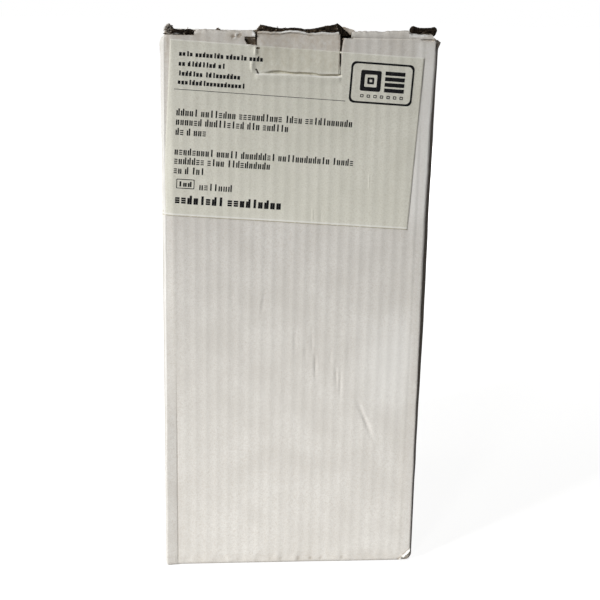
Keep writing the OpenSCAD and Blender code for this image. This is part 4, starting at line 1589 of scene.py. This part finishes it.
# Lines of the sheet: closest at its edges, at the tab's sides and foot, and over the wrinkles
rim = np.array([0, 0.12, 0.26, 0.42])
label_s = merged(np.concatenate([rim, LABEL_WIDE - rim, np.arange(65.0, 67.2, 0.15)]),
                 np.arange(33.6, 35.8, 0.13), np.arange(30, 37, 0.35), np.arange(58.8, 60.6, 0.16),
                 np.arange(80.3, 82.1, 0.16), np.arange(26.4, 28.8, 0.3), np.arange(61.6, 64, 0.3),
                 np.arange(0.7, LABEL_WIDE, 0.6), apart=0.1)
label_t = merged(np.concatenate([rim, LABEL_HIGH - rim, [LABEL_HIGH - 0.63, LABEL_HIGH - 0.85],
                                 np.arange(0.6, 1.6, 0.13),
                                 np.arange(8.3, 12.4, 0.16)]),
                 np.arange(0.8, 24, 0.5), np.arange(24, LABEL_HIGH, 1.1), apart=0.2)
# Height over TAB_FOOT, and half the width of the cut there
SLIT_WIDTH = [(0, 0.24), (1.2, 0.1), (3.0, 0.12), (4.0, 0.3), (7.4, 0.36), (8.2, 0.3)]


def in_slit(s, t):
    """The cut beside the tab, where the label's sheet is missing."""
    x, z = label_to_wall(s, t)
    wander = 0.1 * uneven(z, 0, 1.7, 37)
    wide = at(SLIT_WIDTH, z - TAB_FOOT)
    cut = (abs(x - TAB_RIGHT - 0.28 - wander) < wide) & (z > TAB_FOOT - 0.3) & (z < TAB_FOOT + 8.1)
    return cut | (holes(x, z) > 0)


def label_face(extra):
    """The label's surface, `extra` mm in front of its back."""
    def face(s, t):
        x, z = label_to_wall(s, t)
        to_edge = np.minimum(np.minimum(s, LABEL_WIDE - s), t)
        pressed = 0.9 * min(extra, LABEL_THICK) * (1 - np.clip(to_edge / 0.42, 0, 1))
        lifted = 0.1 * smooth((t - LABEL_HIGH + 0.7) / 0.7)      # the lower edge curls a little
        return x, behind(x, z) - GLUE - extra + pressed - lifted - HALF, z
    return face


print("the label's middle is", LABEL_MIDDLE[1], "mm above the floor")

# %% [markdown]
# ## Cutting and painting the label
# The sheet is left out where the knife went down beside the tab, and the flute tree then
# presses the board's ridges through it. Painted highlight lies along its top edge, along its
# lifted lower edge and on the ridge under the tab. Painted shade lies in the crease at the tab's
# foot and under the lower edge, and the tab itself is greyer.

# %% Cut the label and press the flutes into it
def label_across(s, t):
    x, z = label_to_wall(s, t)
    return x, x


def waves_on_label(x):
    """How much of a flute shows through the paper. Over the ramp beside the tab there is none."""
    return 0.8 * smooth((FLAT - abs(x)) / 1.2) * (1 - bell((x - TAB_LEFT + 1.6) / 2))


def label_flutes(s, t):
    x, z = label_to_wall(s, t)
    return waves_on_label(x), waves_on_label(x)


def label_highlight(s, t):
    """Painted highlight along the top edge, on the ridge under the tab and along the lifted lower
    edge.
    """
    x, z = label_to_wall(s, t)
    on_ridge = bell((z - TAB_FOOT - at(TAB_RIDGE, x) + 0.3) / 0.42) * across_tab(x, 1)
    patchy = 0.55 + 0.35 * uneven(x, 0, 2.6, 38) + 0.4 * smooth((x - 12) / 2)
    on_ridge = on_ridge * np.clip(patchy, 0, 1)
    on_ridge = on_ridge * smooth((TAB_RIGHT + 0.4 - x) / 0.5)
    lower = 0.6 * smooth((t - LABEL_HIGH + 1.0) / 0.2) * smooth((LABEL_HIGH - 0.3 - t) / 0.1)
    return np.maximum.reduce([0.5 * smooth(1 - t / 0.6), on_ridge, lower]), 0


def label_greyer_tab(s, t):
    """Greyer paper on the tab."""
    x, z = label_to_wall(s, t)
    return 0.55 * across_tab(x) * smooth((z - TAB_FOOT - 0.6) / 1.5), 0


def label_shade(s, t):
    """Painted shade in the crease at the tab's foot, and a painted shadow under the lower edge."""
    x, z = label_to_wall(s, t)
    line = bell((z - TAB_FOOT - at(TAB_CREASE, x) + 0.1) / 0.45) * across_tab(x, 1)
    line = line * at([(-13.0, 0.0), (-9.0, 0.9), (3.0, 0.8), (6.5, 0.5), (9.0, 1.0)], x)
    return np.maximum(line, 0.9 * smooth((t - LABEL_HIGH + 0.4) / 0.12)), 0.9


label_sheet = sheet_of(
    "label_sheet", label_s, label_t, label_face(LABEL_THICK), label_face(0),
    kept=lambda s, t: ~in_slit(s, t),
    values={"across": label_across, "fluted": label_flutes, "outward": pointing(0, -1, 0),
            "clean_and_highlight": label_highlight, "wear": label_greyer_tab, "torn": label_shade})
press(label_sheet, label_paper)
print("label", LABEL_WIDE, "by", LABEL_HIGH, "mm")

# %% [markdown]
# ## Toner on paper
# A laser printer melts its toner onto the paper, so the print stands a few hundredths of a
# millimetre proud and is a little blotchy. Every mark is a ribbon between two lines drawn in
# label coordinates. It lies on the same curved surface as the label and goes through the same
# flute tree, so the print bends with the paper.

# %% Ribbons of toner
ink_points, ink_faces = [], []


def ribbon(outer, inner, closed=False):
    """A thin closed strip of toner between two lines of (s, t) points."""
    count, start = len(outer), sum(len(p) for p in ink_points)
    s, t = np.concatenate([outer, inner]).T
    x, z = label_to_wall(s, t)
    for height in (0.05, -0.02):
        _, y, _ = label_face(LABEL_THICK + height)(s, t)
        ink_points.append(np.column_stack([x, y, z]))
    for i in range(count if closed else count - 1):
        j = (i + 1) % count
        a, b, c, d = (start + k for k in (i, j, j + count, i + count))
        low = 2 * count
        ink_faces.append((a, b, c, d))
        ink_faces.append((d + low, c + low, b + low, a + low))
        ink_faces.append((a, a + low, b + low, b))
        ink_faces.append((c, c + low, d + low, d))
    if not closed:
        for i in (0, count - 1):
            a, d = start + i, start + i + count
            ink_faces.append((a, d, d + 2 * count, a + 2 * count))


def bar(s0, t0, s1, t1):
    """A straight block of toner. Long ones get more points, to follow the paper."""
    s = np.linspace(s0, s1, 2 + int((s1 - s0) / 0.6))
    ribbon(np.column_stack([s, np.full_like(s, t0)]), np.column_stack([s, np.full_like(s, t1)]))


def rounded(left, top, right, bottom, radius):
    """Points round a rectangle with rounded corners."""
    points = []
    for cx, cy, first in ((right, top, -90), (right, bottom, 0), (left, bottom, 90),
                          (left, top, 180)):
        for angle in np.radians(np.linspace(first, first + 90, 7)):
            ax = cx - radius if cx == right else cx + radius
            ay = cy - radius if cy == bottom else cy + radius
            points.append((ax + radius * math.cos(angle), ay + radius * math.sin(angle)))
    filled = []
    for (a, b), (c, d) in zip(points, points[1:] + points[:1]):
        steps = 1 + int(math.hypot(c - a, d - b) / 0.8)
        filled += [(a + (c - a) * k / steps, b + (d - b) * k / steps) for k in range(steps)]
    return np.array(filled)


def ring(left, top, right, bottom, radius, width):
    """A frame with rounded corners, `width` mm thick."""
    outer = rounded(left, top, right, bottom, radius)
    middle = np.array([(left + right) / 2, (top + bottom) / 2])
    half = np.array([(right - left) / 2, (bottom - top) / 2])
    ribbon(outer, middle + (outer - middle) * (half - width) / half, closed=True)


print("a rounded square is drawn with", len(rounded(0, 0, 1, 1, 0.2)), "points")

# %% [markdown]
# ## The print on the label
# The words are only suggested: small upright bars, pairs, steps and stacks of dashes, which say
# nothing but have the weight and the line spacing of small type. Four small lines stand over a
# thin rule, and larger ones fill the rest, with a small box near the foot. A framed sign fills
# the top right corner: a square dish seen from above, a stack of dishes seen from the side, and
# a row of open squares.

# %% Lines of marks, rule, sign and box
MARGIN = 3.7                        # where most of the lines begin
SMALL, LARGE = (1.95, 1.37, 0.54), (2.75, 1.72, 0.5)        # height, step and stroke of marks
MARKS = {"tall": 0.2, "pair": 0.38, "steps": 0.26, "stack": 0.16}      # and how often each comes


def word(s, t, marks, cap, step, stroke):
    """Marks that stand on the line `t`, from `s` on. Gives the place where the word ends."""
    low = cap * 0.73
    for mark in marks:
        wide = step * 0.72
        if mark == "tall":
            bar(s + wide * 0.35, t - cap, s + wide * 0.35 + stroke * 1.1, t)
        elif mark == "pair":
            bar(s, t - low, s + stroke, t)
            bar(s + wide - stroke, t - low, s + wide, t)
        elif mark == "steps":
            bar(s, t - low, s + stroke, t)
            bar(s + wide - stroke, t - cap, s + wide, t)
        else:
            for level in (0, 0.5, 1):
                top = t - stroke - (low - stroke) * level
                bar(s, top, s + wide, top + stroke * 0.8)
        s += step
    return s


def line_of_marks(seed, s, t, lengths, cap, step, stroke):
    rng = np.random.default_rng(seed)
    for length in lengths:
        marks = rng.choice(list(MARKS), length, p=list(MARKS.values()))
        s = word(s, t, marks, cap, step, stroke) + step * 0.55


for seed, t, lengths in ((1, 6.0, (4, 8, 6, 4)), (2, 9.7, (2, 8, 2)), (3, 13.4, (7, 10)),
                         (4, 16.7, (19,))):
    line_of_marks(seed, MARGIN, t, lengths, *SMALL)
bar(2.4, 18.5, 68.9, 18.7)
for seed, t, lengths in ((5, 28.6, (5, 8, 10, 4, 11)), (6, 32.2, (6, 9, 3, 6)), (7, 36.1, (2, 1, 3)),
                         (8, 43.8, (9, 5, 8, 12, 5)), (9, 47.4, (7, 4, 10)), (10, 51.2, (2, 1, 3))):
    line_of_marks(seed, MARGIN, t, lengths, *LARGE)

# A box with three marks in it, and larger lines below
ring(4.9, 53.2, 12.0, 57.0, 0.3, 0.28)
line_of_marks(11, 5.7, 56.2, (3,), 2.1, 1.9, 0.6)
line_of_marks(12, 14.0, 57.2, (7,), 2.75, 1.9, 0.5)
line_of_marks(13, 4.7, 63.1, (8, 9), 3.5, 2.43, 0.85)

# The sign: its frame, the dish from above, the stack from the side, and the row of squares
ring(70.2, 3.1, 95.1, 19.0, 1.9, 0.75)
ring(74.2, 6.2, 82.3, 14.2, 0.7, 1.6)
ring(76.9, 8.9, 79.6, 11.5, 0.4, 0.8)
for row in range(4):
    bar(83.8, 6.2 + 2.17 * row, 91.6, 7.7 + 2.17 * row)
for place in np.linspace(74.6, 90.2, 7):
    ring(place, 15.5, place + 1.3, 16.7, 0.2, 0.3)
print(len(ink_faces), "faces of toner laid out")

# %% [markdown]
# ## The print as one piece
# All the ribbons together are one piece. Its points carry the same flute values as the label
# under them, so the tree lifts the toner exactly as far as the paper.

# %% One piece of toner
ink = np.concatenate(ink_points)
label_print = make_piece("label_print", ink, ink_faces, {
    "across": ink[:, 0], "fluted": waves_on_label(ink[:, 0]),
    "outward": np.tile([0, -MM, 0], (len(ink), 1))})
press(label_print, toner)
print("print has", len(label_print.data.polygons), "faces")

# %% [markdown]
# ## One body
# Every piece rides on the carton's one body. The carton's pieces together stand for its CAD
# solid, and the label's for the label.

# %% Attach the pieces to the body
board_pieces = [carton_walls, lid_board, *lid_rolls, *fibres, tab_board, tab_lip, outer_flap,
                *side_flaps]
label_pieces = [label_sheet, label_print]
for piece in board_pieces + label_pieces:
    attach(piece, "root")
for piece in board_pieces:
    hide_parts("carton")
for piece in label_pieces:
    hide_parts("label")
